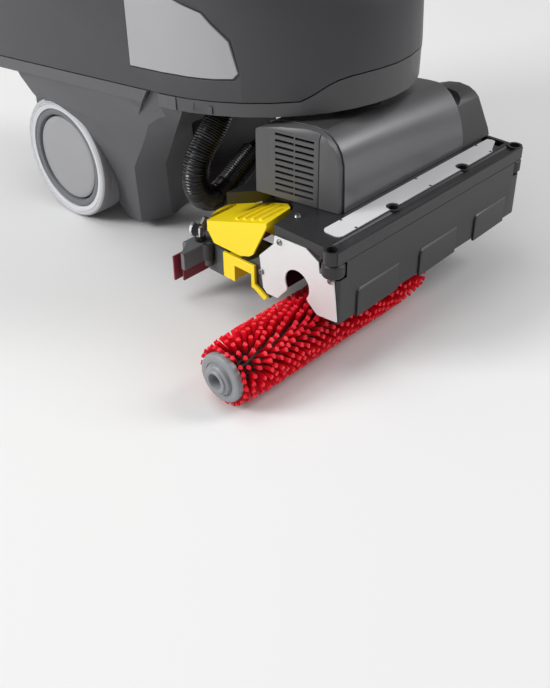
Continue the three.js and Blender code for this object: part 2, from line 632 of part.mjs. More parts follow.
const dogProfile = [[0, 168], [DOG.r, 168], [DOG.r, DOG.x0], [DOG.pulley, DOG.x0], [DOG.pulley, DOG.x1],
  [0, DOG.x1]];
const dogTeeth = box(164, 170, BRUSH.y - 4, BRUSH.y + 4, DOG.z - 11, DOG.z + 11);
const dog = join(turned("x", dogProfile, [0, BRUSH.y, DOG.z], 28), dogTeeth);
add("drive_dog", dog, BARE_STEEL, 0.4, 0.8);

// Open belt around both pulleys: straight runs touch the two circles.
function beltOutline(grow) {
  const from = new THREE.Vector2(BRUSH.y, DOG.z);
  const to = new THREE.Vector2(MOTOR.y, MOTOR.z);
  const run = to.clone().sub(from);
  const lean = Math.atan2(run.y, run.x);
  const spread = Math.acos((DOG.pulley - MOTOR.pulley) / run.length());
  const points = [];
  const turns = 14;
  for (let i = 0; i <= turns; i++) {
    const t = lean + spread + ((2 * Math.PI - 2 * spread) * i) / turns;
    points.push([from.x + (DOG.pulley + grow) * Math.cos(t), from.y + (DOG.pulley + grow) * Math.sin(t)]);
  }
  for (let i = 0; i <= turns; i++) {
    const t = lean - spread + (2 * spread * i) / turns;
    points.push([to.x + (MOTOR.pulley + grow) * Math.cos(t), to.y + (MOTOR.pulley + grow) * Math.sin(t)]);
  }
  return points;
}
const belt = cut(alongX(beltOutline(3.2), 187.5, 197), alongX(beltOutline(0.5), 180, 200));
add("drive_belt", belt, BLACK, 0.8, 0);

add("spray_bar", rod("x", 4, -180, 170, -606.4, 160.4, 12), PIPE, 0.4, 0);

// ---- corner and guide rollers ----

const cornerProfile = [[4.4, 151.5], [12.5, 151.5], [15, 154], [15, 168.5], [12.5, 171],
  [4.4, 171], [4.4, 151.5]];
[["right", -CORNER.x], ["left", CORNER.x]].forEach(([side, x]) => {
  add("corner_roller_" + side, turned("z", cornerProfile, [x, CORNER.y, 0], 20), MOULDED, 0.6, 0);
});

// ---- latch block, release lever and foot pedal ----

const GUIDE = { x: -204, y: -384, r: 8, z0: 86, z1: 111, pin: 3 };
const BLOCK = { x0: -199.6, x1: -136, low: 66 };
const PIVOT = { y: -392, z: 125, r: 3 };
const blockSide = [[-379, BLOCK.low], [-379, 106], [-383, 108], [-455, 109], [-472, 121],
  [-485.8, 132], [-485.8, BLOCK.low]];
let block = alongX(blockSide, BLOCK.x0, BLOCK.x1);
const blockRoom = [[-386, 60], [-386, 103], [-453, 104], [-481, 126], [-481, 60]];
block = cut(block, alongX(blockRoom, -194, -151), box(-194, -141, -481, -386, 60, 100));
block = cut(block, box(-146.5, BLOCK.x1 + 1, -500, -370, 104, 140));
block = cut(block, box(-210, -178, -441, -413, 50, 140), box(-210, -186, -470, -440, 50, 97));
block = cut(block, rod("z", GUIDE.r + 1.5, GUIDE.z0 - 1.5, 130, GUIDE.x, GUIDE.y, 20));
const pivotLug = outline([[-386, 100], [-386, 122], [-390, 129], [-395, 129], [-399, 122], [-399, 100]]);
block = join(block, alongX(pivotLug, -192, -186), alongX(pivotLug, -150, -144));
block = join(block, rod("z", GUIDE.pin, GUIDE.z0 - 9, GUIDE.z1, GUIDE.x, GUIDE.y, 12));
block = join(block, rod("z", 6, GUIDE.z0 - 9, GUIDE.z0 - 1, GUIDE.x, GUIDE.y, 16));
block = cut(block, rod("x", PIVOT.r + GAP, -200, -130, PIVOT.y, PIVOT.z, 12));
add("latch_block", block, MOULDED, 0.5, 0);

const guideBore = GUIDE.pin + GAP;
const guideProfile = [[guideBore, GUIDE.z0], [GUIDE.r, GUIDE.z0], [GUIDE.r, GUIDE.z1],
  [guideBore, GUIDE.z1], [guideBore, GUIDE.z0]];
add("guide_roller", turned("z", guideProfile, [GUIDE.x, GUIDE.y, 0], 16), DARK, 0.6, 0);

const leverSide = [[-415, 111], [-475, 112.5], [-475, 84], [-498, 73], [-492, 66], [-474, 76],
  [-468.5, 77], [-468.5, 97.5], [-437, 97.5], [-437, 72], [-415, 72]];
let lever = alongX(leverSide, -206, -201.6);
lever = join(lever, box(-203, -180, -437, -415, 74, 104));
add("release_lever", lever, YELLOW, 0.4, 0);

function pedalBody() {
  const side = [[-386, 148], [-388, 132], [-398, 118], [-448, 118], [-466, 124], [-473, 129.5],
    [-499, 180], [-499, 186]];
  const plan = [[-206, -386], [-206, -499], [-149, -488], [-134.5, -470], [-131.5, -437], [-138, -361],
    [-163, -363], [-196, -376]];
  const inner = [[-202.5, -386], [-202.5, -495], [-151, -485], [-138, -469], [-135, -437], [-141, -364.5],
    [-163, -366.5], [-194, -379]];
  const slope = (y) => 148 + 0.336 * (-386 - y);
  const under = [[-350, slope(-350)], [-520, slope(-520)], [-520, 90], [-350, 90]];
  const inside = [[-350, slope(-350) - 4], [-520, slope(-520) - 4], [-520, 90], [-350, 90]];
  const skirtLine = [[-520, 200], ...side.slice(1, 7).reverse(), [-375, 132], [-350, 132], [-350, 200]];
  let body = common(alongZ(plan, 80, 200), alongX(under, -300, 0), alongX(skirtLine, -300, 0));
  body = cut(body, common(alongZ(inner, 80, 200), alongX(inside, -300, 0)));
  body = cut(body, box(-201, -138, -403, -372, 60, slope(-386) - 1));
  const grips = 4;
  for (let i = 0; i < grips; i++) {
    const y = -434 - i * 15;
    const z = slope(y);
    const rib = [[y - 4, z + 0.8], [y - 1, z + 3], [y + 1.5, z + 2.2], [y + 4, z - 1.6], [y - 4, z - 1]];
    body = join(body, alongX(rib, -196, i > 2 ? -156 : -142));
  }
  return join(body, rod("x", PIVOT.r, -203, -137, PIVOT.y, PIVOT.z, 12));
}
add("pedal", pedalBody(), YELLOW, 0.38, 0);

// ---- suction bar behind the head ----

const barSide = [[BAR.front, BAR.low], [BAR.front, BAR.top - 2], [BAR.front + 2, BAR.top],
  [BAR.back - 3, BAR.top], [BAR.back, BAR.top - 4], [BAR.back, BAR.low]];
const LIPS = { front: -334, rear: -324, thick: 3, low: 32, high: 72 };
const NECK = { y: -333, bore: 12 };
let frame = alongX(barSide, -BAR.half, BAR.half);
const endCut = alongZ([[-230, -345], [-219, -342], [-195, -327], [-195, -300], [-230, -300]], 50, 100);
frame = cut(frame, endCut, mirrorX(endCut));
[LIPS.front, LIPS.rear].forEach((y) => {
  const half = LIPS.thick / 2 + GAP;
  frame = cut(frame, box(-230, 230, y - half, y + half, 40, LIPS.high + GAP));
});
frame = cut(frame, rod("z", NECK.bore + GAP * 2, 50, 100, 0, NECK.y, 20));
frame = cut(frame, box(-150, 150, LIPS.front + 2.5, LIPS.rear - 2.5, 50, 78));
const armSide = [[-347, 62], [-347, 83], [-379, 102], [-379, 150], [-392.6, 150], [-392.6, 80],
  [-374, 62]];
frame = join(frame, alongX(armSide, -50, -38), alongX(armSide, 38, 50));
frame = join(frame, box(-50, 50, -392.6, -386, 118, 148));
add("squeegee_frame", frame, GREY, 0.5, 0.3);

[["front", -211], ["rear", -219.5]].forEach(([which, x]) => {
  const y = LIPS[which];
  const lip = box(x, -x, y - LIPS.thick / 2, y + LIPS.thick / 2, LIPS.low, LIPS.high);
  add("squeegee_lip_" + which, lip, DEEP_RED, 0.6, 0);
});

const KNOB = { x: 176, y: -336, foot: BAR.top + GAP, r: 8 };
const knobProfile = [[0, 0], [KNOB.r, 0], [KNOB.r, 7], [6, 8], [6, 22], [4, 25], [0, 25]];
function knob(x) {
  const wing = [[-3, 9], [-16, 14], [-19, 22], [-16, 31], [-9, 34], [-2, 26], [2, 26], [9, 34],
    [16, 31], [19, 22], [16, 14], [3, 9]];
  const blade = alongY(wing, -2.5, 2.5);
  return moved(join(turned("z", knobProfile, [0, 0, 0], 20), blade), x, KNOB.y, KNOB.foot);
}
add("squeegee_knob_right", knob(-KNOB.x), CHROME, 0.3, 0.9);
add("squeegee_knob_left", knob(KNOB.x), CHROME, 0.3, 0.9);

// Suction nozzle: neck on the bar, bent over to meet the hose.
const neck = [[0, NECK.y, 79], [0, NECK.y, 110], [0, NECK.y, 140], [-5, HOSE.y, 165],
  [-22, HOSE.y, 181], [-46, HOSE.y, 185], [-62, HOSE.y, 181]];
const nozzle = sweep(neck, 14.6, 11.5, 12, 5);
const footHigh = BAR.top + 7;
const nozzleFoot = cut(
  box(-34, 34, -346, -322, BAR.top + GAP, footHigh),
  rod("z", NECK.bore, 70, 110, 0, NECK.y, 20),
);
const nozzleTop = cut(nozzle, box(-40, 40, -360, -300, 60, BAR.top + GAP));
add("suction_nozzle", join(nozzleTop, nozzleFoot), BLACK, 0.5, 0);

// ---- corrugated hose, held at both ends ----

const hoseRoute = [[-120, 278], [-125, 259], [-138, 242], [-153, 227], [-167, 209], [-174, 190],
  [-173, 168], [-162, 149], [-143, 140], [-120, 146], [-90, 164], [-58, 182]];
const hosePath = hoseRoute.map(([x, z]) => [x, HOSE.y, z]);

// Rings alternate between full and shallow radius along the route.
function corrugated(points, segments) {
  const path = new THREE.CatmullRomCurve3(points.map((p) => new THREE.Vector3(...p)));
  const steps = 2 * Math.round(path.getLength() / HOSE.pitch);
  const shape = new THREE.Shape().absarc(0, 0, HOSE.r, 0, 2 * Math.PI);
  const options = { steps, extrudePath: path, curveSegments: segments / 2, bevelEnabled: false };
  const geometry = new THREE.ExtrudeGeometry(shape, options);
  const p = geometry.attributes.position;
  const centres = path.getSpacedPoints(steps);
  const shallow = 1 - HOSE.wave / HOSE.r;
  const v = new THREE.Vector3();
  for (let i = 0; i < p.count; i++) {
    v.fromBufferAttribute(p, i);
    let k = 0;
    for (let j = 1; j <= steps; j++) {
      if (centres[j].distanceTo(v) < centres[k].distanceTo(v)) k = j;
    }
    if (k % 2) v.sub(centres[k]).multiplyScalar(shallow).add(centres[k]);
    p.setXYZ(i, v.x, v.y, v.z);
  }
  return toSolid(geometry);
}
let hose = corrugated(hosePath, 10);
hose = cut(hose, rod("z", 20.2, 269.5, 300, hoseRoute[0][0], HOSE.y, 24));
hose = cut(hose, sweep(hosePath, 15.2, 0, 18, 5), sweep(neck, 15.2, 0, 12, 5));
add("suction_hose", hose, BLACK, 0.6, 0);

// ---- roller brush, half drawn out through the keyhole ----

const brushEnd = BRUSH.x0 + BRUSH.length;
const coreProfile = [[0, BRUSH.x0 - 3], [18, BRUSH.x0 - 3], [22, BRUSH.x0], [22, brushEnd],
  [18, brushEnd + 6], [13, brushEnd + 6], [13, brushEnd - 14], [0, brushEnd - 14]];
add("roller_core", turned("x", coreProfile, [0, BRUSH.y, BRUSH.z], 24), BLACK, 0.6, 0);

// Bristle rows wind as a chevron: the star section turns one way, then back.
function bristles() {
  const rows = 12;
  const inner = 31;
  const points = [];
  for (let i = 0; i < rows; i++) {
    const a = (2 * Math.PI * i) / rows;
    const spread = [[-0.34, BRUSH.r], [0.34, BRUSH.r], [0.62, inner], [1.38, inner]];
    spread.forEach(([k, r]) => {
      const t = a + (k * Math.PI) / rows;
      points.push([r * Math.cos(t), r * Math.sin(t)]);
    });
  }
  const steps = 10;
  const options = { depth: BRUSH.length - 2, steps, bevelEnabled: false };
  const geometry = new THREE.ExtrudeGeometry(outline(points), options);
  const p = geometry.attributes.position;
  for (let i = 0; i < p.count; i++) {
    const s = p.getZ(i) / (BRUSH.length - 2);
    const twist = 1.1 * (1 - Math.abs(2 * s - 1));
    const x = p.getX(i);
    const y = p.getY(i);
    p.setXY(i, x * Math.cos(twist) - y * Math.sin(twist), x * Math.sin(twist) + y * Math.cos(twist));
  }
  const placed = turn(geometry, [0, 1, 0], [0, 0, 1], [1, 0, 0]);
  const body = toSolid(placed.translate(BRUSH.x0 + 1, BRUSH.y, BRUSH.z));
  return cut(body, rod("x", 22.3, BRUSH.x0 - 5, brushEnd + 5, BRUSH.y, BRUSH.z, 24));
}
add("bristle_sleeve", bristles(), RED, 0.6, 0);

const hubProfile = [[0, -336.4], [31, -336.4], [BRUSH.hub, -341], [BRUSH.hub, -351], [32, -355],
  [26, -356], [24.5, -350], [22, -350], [21, -356], [16, -356], [14, -348], [0, -347]];
add("roller_hub", turned("x", hubProfile, [0, BRUSH.y, BRUSH.z], 28), BARE_STEEL, 0.5, 0);

// ---- dirty-water tank, lifts off; its lid hinges at the back ----

function roundedSection(z, a, front, tail, r) {
  const points = [];
  const bend = 4;
  const corners = [[-1, -1], [1, -1], [1, 1], [-1, 1]];
  corners.forEach(([sx, sy], c) => {
    for (let i = 0; i <= bend; i++) {
      const t = Math.PI + (Math.PI / 2) * (c + i / bend);
      const cy = sy < 0 ? front + r : tail - r;
      points.push([sx * (a - r) + r * Math.cos(t), cy + r * Math.sin(t)]);
    }
  });
  return { z, points };
}

function topLoft(inset, low, high) {
  const section = (z, a, front, tail) => {
    return roundedSection(z, a - inset, front + inset, tail - inset, 46);
  };
  return loft([
    section(low, TOP.a, TOP.front, TOP.tail),
    section(580, TOP.a + 4, TOP.front + 4, TOP.tail + 2),
    section(high, TOP.a, TOP.front + 26, TOP.tail),
  ]);
}
const dirty = cut(topLoft(0, TOP.z + GAP, TOP.lid - 2), topLoft(4, TOP.z + 5, TOP.lid + 1));
add("dirty_tank", dirty, RUBBER, 0.4, 0);

function lidBody() {
  const outside = loft([
    roundedSection(TOP.lid - 1.4, 166, -306, 190, 48),
    roundedSection(TOP.lid + 14, 164, -304, 188, 48),
    roundedSection(TOP.lid + 26, 152, -290, 176, 44),
  ]);
  const inside = loft([
    roundedSection(TOP.lid - 3, 158, -298, 182, 44),
    roundedSection(TOP.lid + 20, 148, -286, 172, 40),
  ]);
  const grip = box(-60, 60, -318, -290, TOP.lid + 2, TOP.lid + 12);
  const fingers = box(-48, 48, -312, -306, TOP.lid, TOP.lid + 14);
  return join(cut(outside, inside), cut(grip, fingers));
}
add("tank_lid", lidBody(), DARK, 0.45, 0);

// ---- handle: folding column, steering bar, panel and controls ----

const columnPath = [[0, 226, 212], [0, 232, 300], [0, 244, 430], [0, 276, 580], [0, 340, 730],
  [0, 430, 860], [0, STEER.y - 16, STEER.z - 28]];
let column = ring("x", 20, HINGE.r + GAP, -43, 43, HINGE.y, HINGE.z, 28);
[-30, 30].forEach((x) => {
  const rail = sweep(columnPath.map(([, y, z]) => [x, y, z]), 13, 0, 10, 4);
  column = join(column, rail);
});
column = cut(column, rod("x", HINGE.r + GAP, -60, 60, HINGE.y, HINGE.z, 20));
column = join(column, box(-30, 30, 238, 252, 424, 444), box(-30, 30, 330, 346, 716, 736));
const headBlock = box(-48, 48, STEER.y - 52, STEER.y - 4, STEER.z - 60, STEER.z - 22);
column = join(column, headBlock);
const steerPin = rod("z", 11, STEER.z - 40, STEER.z + 14, 0, STEER.y - 28, 20);
column = join(column, steerPin);
add("handle_column", column, MOULDED, 0.45, 0.3);

const GRIP = { r: 14, y: STEER.y - 10, z: STEER.z + 16, half: 250 };
const TRIGGER = { x: -146, z: GRIP.z - 5, y0: GRIP.y + 22, y1: GRIP.y + 36, pin: 2.5 };
const barBends = [[50, -10, 0], [120, 12, 8], [196, 44, 26], [GRIP.half, 52, 30]];
const barHalf = barBends.map(([x, y, z]) => [x, GRIP.y + y, GRIP.z + z]);
const barPath = [...barHalf.map(([x, y, z]) => [-x, y, z]).reverse(), ...barHalf];
let bar = sweep(barPath, GRIP.r, 0, 18, 5);
bar = join(bar, rod("z", 26, STEER.z - 18, STEER.z + 24, 0, STEER.y - 28, 24));
bar = cut(bar, rod("z", 11.3, STEER.z - 30, STEER.z + 14.4, 0, STEER.y - 28, 20));
bar = join(bar, box(-30, 30, STEER.y - 44, STEER.y + 2, STEER.z + 20, STEER.z + 30.6));
[-1, 1].forEach((side) => {
  const place = side > 0 ? mirrorX : (b) => b;
  const { x, y0, y1 } = TRIGGER;
  const cheek = (from, to) => place(box(x - 6, x + 6, from, to, TRIGGER.z - 6, GRIP.z + 20));
  const pin = place(rod("y", TRIGGER.pin, y0 - 4, y1 + 4, x, TRIGGER.z, 12));
  bar = join(bar, cheek(y0 - 7, y0 - GAP), cheek(y1 + GAP, y1 + 6), pin);
});
add("handlebar", bar, SKIRT, 0.6, 0);

const PANEL_TILT = 0.36;
const panelAt = [0, STEER.y - 26, STEER.z + 46];
function tilted(geometry) {
  return toSolid(geometry.rotateX(PANEL_TILT).translate(...panelAt));
}
function panelPlate() {
  const shape = new THREE.Shape();
  const w = 74;
  const h = 44;
  const r = 18;
  shape.moveTo(-w + r, -h);
  shape.lineTo(w - r, -h);
  shape.absarc(w - r, -h + r, r, -Math.PI / 2, 0);
  shape.absarc(w - r, h - r, r, 0, Math.PI / 2);
  shape.absarc(-w + r, h - r, r, Math.PI / 2, Math.PI);
  shape.absarc(-w + r, -h + r, r, Math.PI, 1.5 * Math.PI);
  return extruded(shape, 16, 4).translate(0, 0, -8);
}
let consoleBody = join(tilted(panelPlate()), box(-28, 28, STEER.y - 42, STEER.y, STEER.z + 31, STEER.z + 44));
function pocketAt(x, y, r) {
  const well = new THREE.CylinderGeometry(r, r, 9, 24).rotateX(Math.PI / 2);
  return tilted(well.translate(x, y, 6));
}
consoleBody = cut(consoleBody, pocketAt(-34, 0, 20.5), pocketAt(36, 8, 11.5));
add("control_panel", consoleBody, DARK, 0.4, 0);

const dialBase = new THREE.CylinderGeometry(19, 20, 12, 28).rotateX(Math.PI / 2).translate(-34, 0, 8);
const dialGrip = new THREE.BoxGeometry(8, 32, 8).translate(-34, 0, 16);
add("mode_dial", join(tilted(dialBase), tilted(dialGrip)), YELLOW, 0.4, 0);
const buttonShape = new THREE.CylinderGeometry(10, 11, 6, 24).rotateX(Math.PI / 2).translate(36, 8, 8.5);
add("start_button", tilted(buttonShape), GREEN, 0.4, 0);

function trigger() {
  const shape = [[-140, 2], [-153, 2], [-226, 4], [-232, -2], [-226, -7], [-190, -8], [-150, -7], [-140, -4]];
  const blade = alongY(shape.map(([x, z]) => [x, z + TRIGGER.z]), TRIGGER.y0, TRIGGER.y1);
  return cut(blade, rod("y", TRIGGER.pin + GAP, 400, 700, TRIGGER.x, TRIGGER.z, 12));
}
add("trigger_right", trigger(), YELLOW, 0.45, 0);
add("trigger_left", mirrorX(trigger()), YELLOW, 0.45, 0);

// The frame of the part: the centre of the box's base.
root.updateMatrixWorld(true);
const bounds = new THREE.Box3().setFromObject(root);
const centre = bounds.getCenter(new THREE.Vector3());
root.position.set(-centre.x, -centre.y, -bounds.min.z);

export default root;
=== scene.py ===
import json
import math
import random

import bmesh
import bpy
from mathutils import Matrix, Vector


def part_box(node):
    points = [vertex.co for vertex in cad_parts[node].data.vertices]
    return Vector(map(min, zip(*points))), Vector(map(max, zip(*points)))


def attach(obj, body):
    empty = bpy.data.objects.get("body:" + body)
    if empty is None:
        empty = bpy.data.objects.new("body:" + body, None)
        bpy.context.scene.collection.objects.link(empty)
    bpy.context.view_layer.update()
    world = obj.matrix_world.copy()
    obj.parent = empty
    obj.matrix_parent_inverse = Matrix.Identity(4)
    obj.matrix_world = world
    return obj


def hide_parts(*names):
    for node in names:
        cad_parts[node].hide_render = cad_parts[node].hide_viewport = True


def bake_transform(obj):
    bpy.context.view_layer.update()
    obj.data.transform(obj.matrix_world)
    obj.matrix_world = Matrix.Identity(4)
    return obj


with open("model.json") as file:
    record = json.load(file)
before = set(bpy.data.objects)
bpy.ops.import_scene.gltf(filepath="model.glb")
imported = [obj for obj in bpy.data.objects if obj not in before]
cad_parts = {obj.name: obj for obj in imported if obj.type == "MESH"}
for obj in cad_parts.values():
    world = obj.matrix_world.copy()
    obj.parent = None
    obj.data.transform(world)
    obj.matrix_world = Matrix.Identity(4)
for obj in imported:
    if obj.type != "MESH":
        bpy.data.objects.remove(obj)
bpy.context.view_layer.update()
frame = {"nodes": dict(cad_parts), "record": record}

# ---------------------------------------------------------------- studio
# Pale seamless floor, one broad lamp high behind the service side, a softer
# one high in front on the belt side, one overhead and light from all round.

# Every length is in millimetres from the machine's own datum: the middle of
# the rear axle, dropped to the floor, with the front toward -Y.
MM, AXLE_HIGH = 0.001, 100
axle_low, axle_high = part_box("rear_axle")
DATUM = (Vector(axle_low) + Vector(axle_high)) / 2
DATUM.z -= AXLE_HIGH * MM


def spot(x, y, z):
    """Place in the scene of a point given in millimetres from the datum."""
    return DATUM + Vector((x, y, z)) * MM


scene = bpy.context.scene
scene.view_settings.view_transform = "Standard"
scene.view_settings.look = "None"

lens = bpy.data.cameras.new("studio_camera")
lens.lens = 50.55
lens.shift_x = -0.0246
lens.shift_y = -0.0202
lens.clip_end = 50
camera = bpy.data.objects.new("studio_camera", lens)
scene.collection.objects.link(camera)
camera.location = spot(-973.0, -1254.5, 786.5)
line_of_sight = Vector((0.5974, 0.5539, -0.5799))
camera.rotation_euler = line_of_sight.to_track_quat("-Z", "Y").to_euler()
scene.camera = camera


def lamp(name, place, aim, size, power, tall=None):
    """Round soft lamp, or an upright strip when it is given a height."""
    light = bpy.data.lights.new(name, "AREA")
    light.shape = "RECTANGLE" if tall else "DISK"
    light.size = size
    if tall:
        light.size_y = tall
    light.energy = power
    holder = bpy.data.objects.new(name, light)
    holder.location = place
    holder.rotation_euler = (aim - place).to_track_quat("-Z", "Y").to_euler()
    scene.collection.objects.link(holder)


machine_middle = spot(-20, -300, 250)
lamp("key_lamp", spot(-4700, 2400, 3400), machine_middle, 2.6, 262)
lamp("belt_side_lamp", spot(3000, -3200, 3500), machine_middle, 1.5, 122, tall=3.6)
lamp("top_lamp", spot(-1100, 700, 4600), machine_middle, 3.2, 62)

room = bpy.data.worlds.new("studio_room")
scene.world = room
room.use_nodes = True
backdrop = room.node_tree.nodes["Background"]
backdrop.inputs["Color"].default_value = (1, 1, 1, 1)
backdrop.inputs["Strength"].default_value = 0.30

REACH, FLOOR_DROP, FLOOR_TONE = 30, 0.0004, 0.81
floor_mesh = bpy.data.meshes.new("studio_floor")
floor_corners = [(-REACH, -REACH, 0), (REACH, -REACH, 0), (REACH, REACH, 0), (-REACH, REACH, 0)]
floor_mesh.from_pydata(floor_corners, [], [(0, 1, 2, 3)])
floor = bpy.data.objects.new("studio_floor", floor_mesh)
floor.location = (0, 0, -FLOOR_DROP)
scene.collection.objects.link(floor)
floor_paint = bpy.data.materials.new("studio_floor")
floor_paint.use_nodes = True
floor_shader = floor_paint.node_tree.nodes["Principled BSDF"]
floor_shader.inputs["Base Color"].default_value = (FLOOR_TONE, FLOOR_TONE, FLOOR_TONE, 1)
floor_shader.inputs["Roughness"].default_value = 0.9
floor_shader.inputs["Specular IOR Level"].default_value = 0.2
floor_mesh.materials.append(floor_paint)


# --------------------------------------------------------- chassis block
# Mid-grey moulding that stands between the wheels and flares out over the
# arches. Its edges are rounded as a thick moulding leaves them, and a thin
# liner closes each shallow facet where it cuts through the wall.
def grain_group():
    """Moulded skin: fine pebble for the normal and a slow mask for the gloss."""
    group = bpy.data.node_groups.new("moulded_grain", "ShaderNodeTree")
    for label, value in (("Scale", 900.0), ("Depth", 0.1)):
        socket = group.interface.new_socket(name=label, in_out="INPUT", socket_type="NodeSocketFloat")
        socket.default_value = value
    group.interface.new_socket(name="Normal", in_out="OUTPUT", socket_type="NodeSocketVector")
    group.interface.new_socket(name="Mask", in_out="OUTPUT", socket_type="NodeSocketFloat")
    nodes, links = group.nodes, group.links
    given = nodes.new("NodeGroupInput")
    out = nodes.new("NodeGroupOutput")
    place = nodes.new("ShaderNodeTexCoord")
    pebble = nodes.new("ShaderNodeTexNoise")
    pebble.inputs["Detail"].default_value = 3
    links.new(place.outputs["Object"], pebble.inputs["Vector"])
    links.new(given.outputs["Scale"], pebble.inputs["Scale"])
    bump = nodes.new("ShaderNodeBump")
    bump.inputs["Distance"].default_value = 0.0004
    links.new(pebble.outputs["Fac"], bump.inputs["Height"])
    links.new(given.outputs["Depth"], bump.inputs["Strength"])
    slow = nodes.new("ShaderNodeTexNoise")
    slow.inputs["Scale"].default_value = 9
    slow.inputs["Detail"].default_value = 4
    links.new(place.outputs["Object"], slow.inputs["Vector"])
    links.new(bump.outputs["Normal"], out.inputs["Normal"])
    links.new(slow.outputs["Fac"], out.inputs["Mask"])
    return group


GRAIN = grain_group()


def linear(*shades):
    """Linear colour from a paint card's 0 to 255 values."""
    return tuple((v / 255 / 12.92) if v <= 10 else ((v / 255 + 0.055) / 1.055) ** 2.4 for v in shades)


def finish_from(name, effect, settings, metal, dark, light, rough, spread):
    """Material whose colour and gloss drift by the mask of a shared effect."""
    finish = bpy.data.materials.new(name)
    finish.use_nodes = True
    nodes, links = finish.node_tree.nodes, finish.node_tree.links
    shader = nodes["Principled BSDF"]
    shader.inputs["Metallic"].default_value = metal
    surface = nodes.new("ShaderNodeGroup")
    surface.node_tree = effect
    for label, value in settings.items():
        surface.inputs[label].default_value = value
    tint = nodes.new("ShaderNodeMix")
    tint.data_type = "RGBA"
    tint.inputs[6].default_value = (*dark, 1)
    tint.inputs[7].default_value = (*light, 1)
    links.new(surface.outputs["Mask"], tint.inputs[0])
    links.new(tint.outputs[2], shader.inputs["Base Color"])
    gloss = nodes.new("ShaderNodeMapRange")
    gloss.inputs["To Min"].default_value = max(0.02, rough - spread)
    gloss.inputs["To Max"].default_value = min(1, rough + spread)
    links.new(surface.outputs["Mask"], gloss.inputs["Value"])
    links.new(gloss.outputs["Result"], shader.inputs["Roughness"])
    links.new(surface.outputs["Normal"], shader.inputs["Normal"])
    return finish


def skin(name, colour, rough, metal=0.0, scale=900.0, depth=0.1, vary=0.06):
    """A moulded or painted finish: colour drifts slightly, grain roughens it."""
    settings = {"Scale": scale, "Depth": depth}
    dark = [c * (1 - vary) for c in colour]
    light = [min(1, c * (1 + vary)) for c in colour]
    return finish_from(name, GRAIN, settings, metal, dark, light, rough, spread=0.04)


def smooth_by_angle(mesh, degrees):
    """Smooth shading, kept sharp where faces meet at more than the angle."""
    for face in mesh.polygons:
        face.use_smooth = True
    mesh.set_sharp_from_angle(angle=math.radians(degrees))


def new_piece(name, mesh, finish, body, *nodes):
    """Puts a finished mesh in the scene on its body, in place of CAD nodes."""
    piece = bpy.data.objects.new(name, mesh)
    scene.collection.objects.link(piece)
    if finish is not None:
        mesh.materials.clear()
        mesh.materials.append(finish)
    if nodes:
        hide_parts(*nodes)
    if body is not None:
        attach(piece, body)
    return piece


def body_of(node):
    """Name of the moving body that holds a CAD node."""
    return next(b for b, nodes in frame["record"]["behaviour"]["bodies"].items() if node in nodes)


def reading(place):
    """Millimetres from the datum of a place in the scene."""
    return (place - DATUM) / MM


def eased(shape, width, chosen):
    """Rounds the edges whose two ends, in millimetres from the datum, are chosen."""
    picked = [
        e for e in shape.edges
        if len(e.link_faces) == 2 and e.calc_face_angle(0) > 0.4 and chosen(*[reading(v.co) for v in e.verts])
    ]
    bmesh.ops.bevel(
        shape, geom=picked, offset=width * MM, offset_type="OFFSET", segments=6,
        profile=0.5, affect="EDGES", clamp_overlap=True
    )


def rounded(node, finish, edge, steps=2, sharp=28, flat=0.6, ease=(), slope=None):
    """The node's own shape, welded: first the corners that slope picks are
    lowered, then the ease edges are rounded wide and the rest fine."""
    mesh = frame["nodes"][node].data.copy()
    mesh.name = node + "_shape"
    shape = bmesh.new()
    shape.from_mesh(mesh)
    bmesh.ops.remove_doubles(shape, verts=shape.verts, dist=3e-6)
    bmesh.ops.dissolve_limit(
        shape, angle_limit=math.radians(flat), verts=shape.verts, edges=shape.edges, delimit=set()
    )
    if slope:
        lower, picked = slope
        for corner in shape.verts:
            if picked(reading(corner.co)):
                corner.co.z -= lower * MM
    for width, chosen in ease:
        eased(shape, width, chosen)
    shape.to_mesh(mesh)
    shape.free()
    mesh.validate()
    piece = new_piece(node + "_body", mesh, finish, body_of(node), node)
    if edge > 0:
        bevel = piece.modifiers.new("edges", "BEVEL")
        bevel.width = edge * MM
        bevel.segments = steps
        bevel.limit_method = "ANGLE"
        bevel.angle_limit = math.radians(sharp)
        bevel.harden_normals = True
        bevel.use_clamp_overlap = True
    smooth_by_angle(mesh, sharp + 8)
    return piece


chassis_grey = skin("chassis_grey", linear(85, 85, 88), 0.5, scale=1400, depth=0.12)
rounded("chassis_shell", chassis_grey, edge=1.6, steps=3)

FACET = [
    (-183.4, -247.2, 272.5), (-182, -257.5, 262), (-181.6, -260.6, 260.2), (-181.2, -263.7, 262),
    (-178.9, -280.6, 273), (-178.5, -284.1, 273.8), (-178.5, -284.1, 295), (-181.7, -260.2, 292.6)
]
STEP = [(-178.3, -284.1, 273.6), (-186, -284.1, 277), (-186, -284.1, 294.8), (-178.3, -284.1, 294.8)]


def liner(name, outline, push, finish, body, sides=(1, -1)):
    """Flat infill from an outline, thickened by push, on each side of the machine."""
    shape = bmesh.new()
    for side in sides:
        near = [shape.verts.new(spot(x * side, y, z)) for x, y, z in outline]
        far = [shape.verts.new(spot((x + push[0]) * side, y + push[1], z + push[2])) for x, y, z in outline]
        shape.faces.new(near)
        shape.faces.new(far[::-1])
        for k in range(len(outline)):
            n = (k + 1) % len(outline)
            shape.faces.new((near[k], far[k], far[n], near[n]))
    bmesh.ops.recalc_face_normals(shape, faces=shape.faces)
    mesh = bpy.data.meshes.new(name)
    shape.to_mesh(mesh)
    shape.free()
    new_piece(name, mesh, finish, body)


liner("facet_liner", FACET, (2, 0.2, 0), chassis_grey, "chassis")
liner("facet_step", STEP, (0, -2, 0), chassis_grey, "chassis")

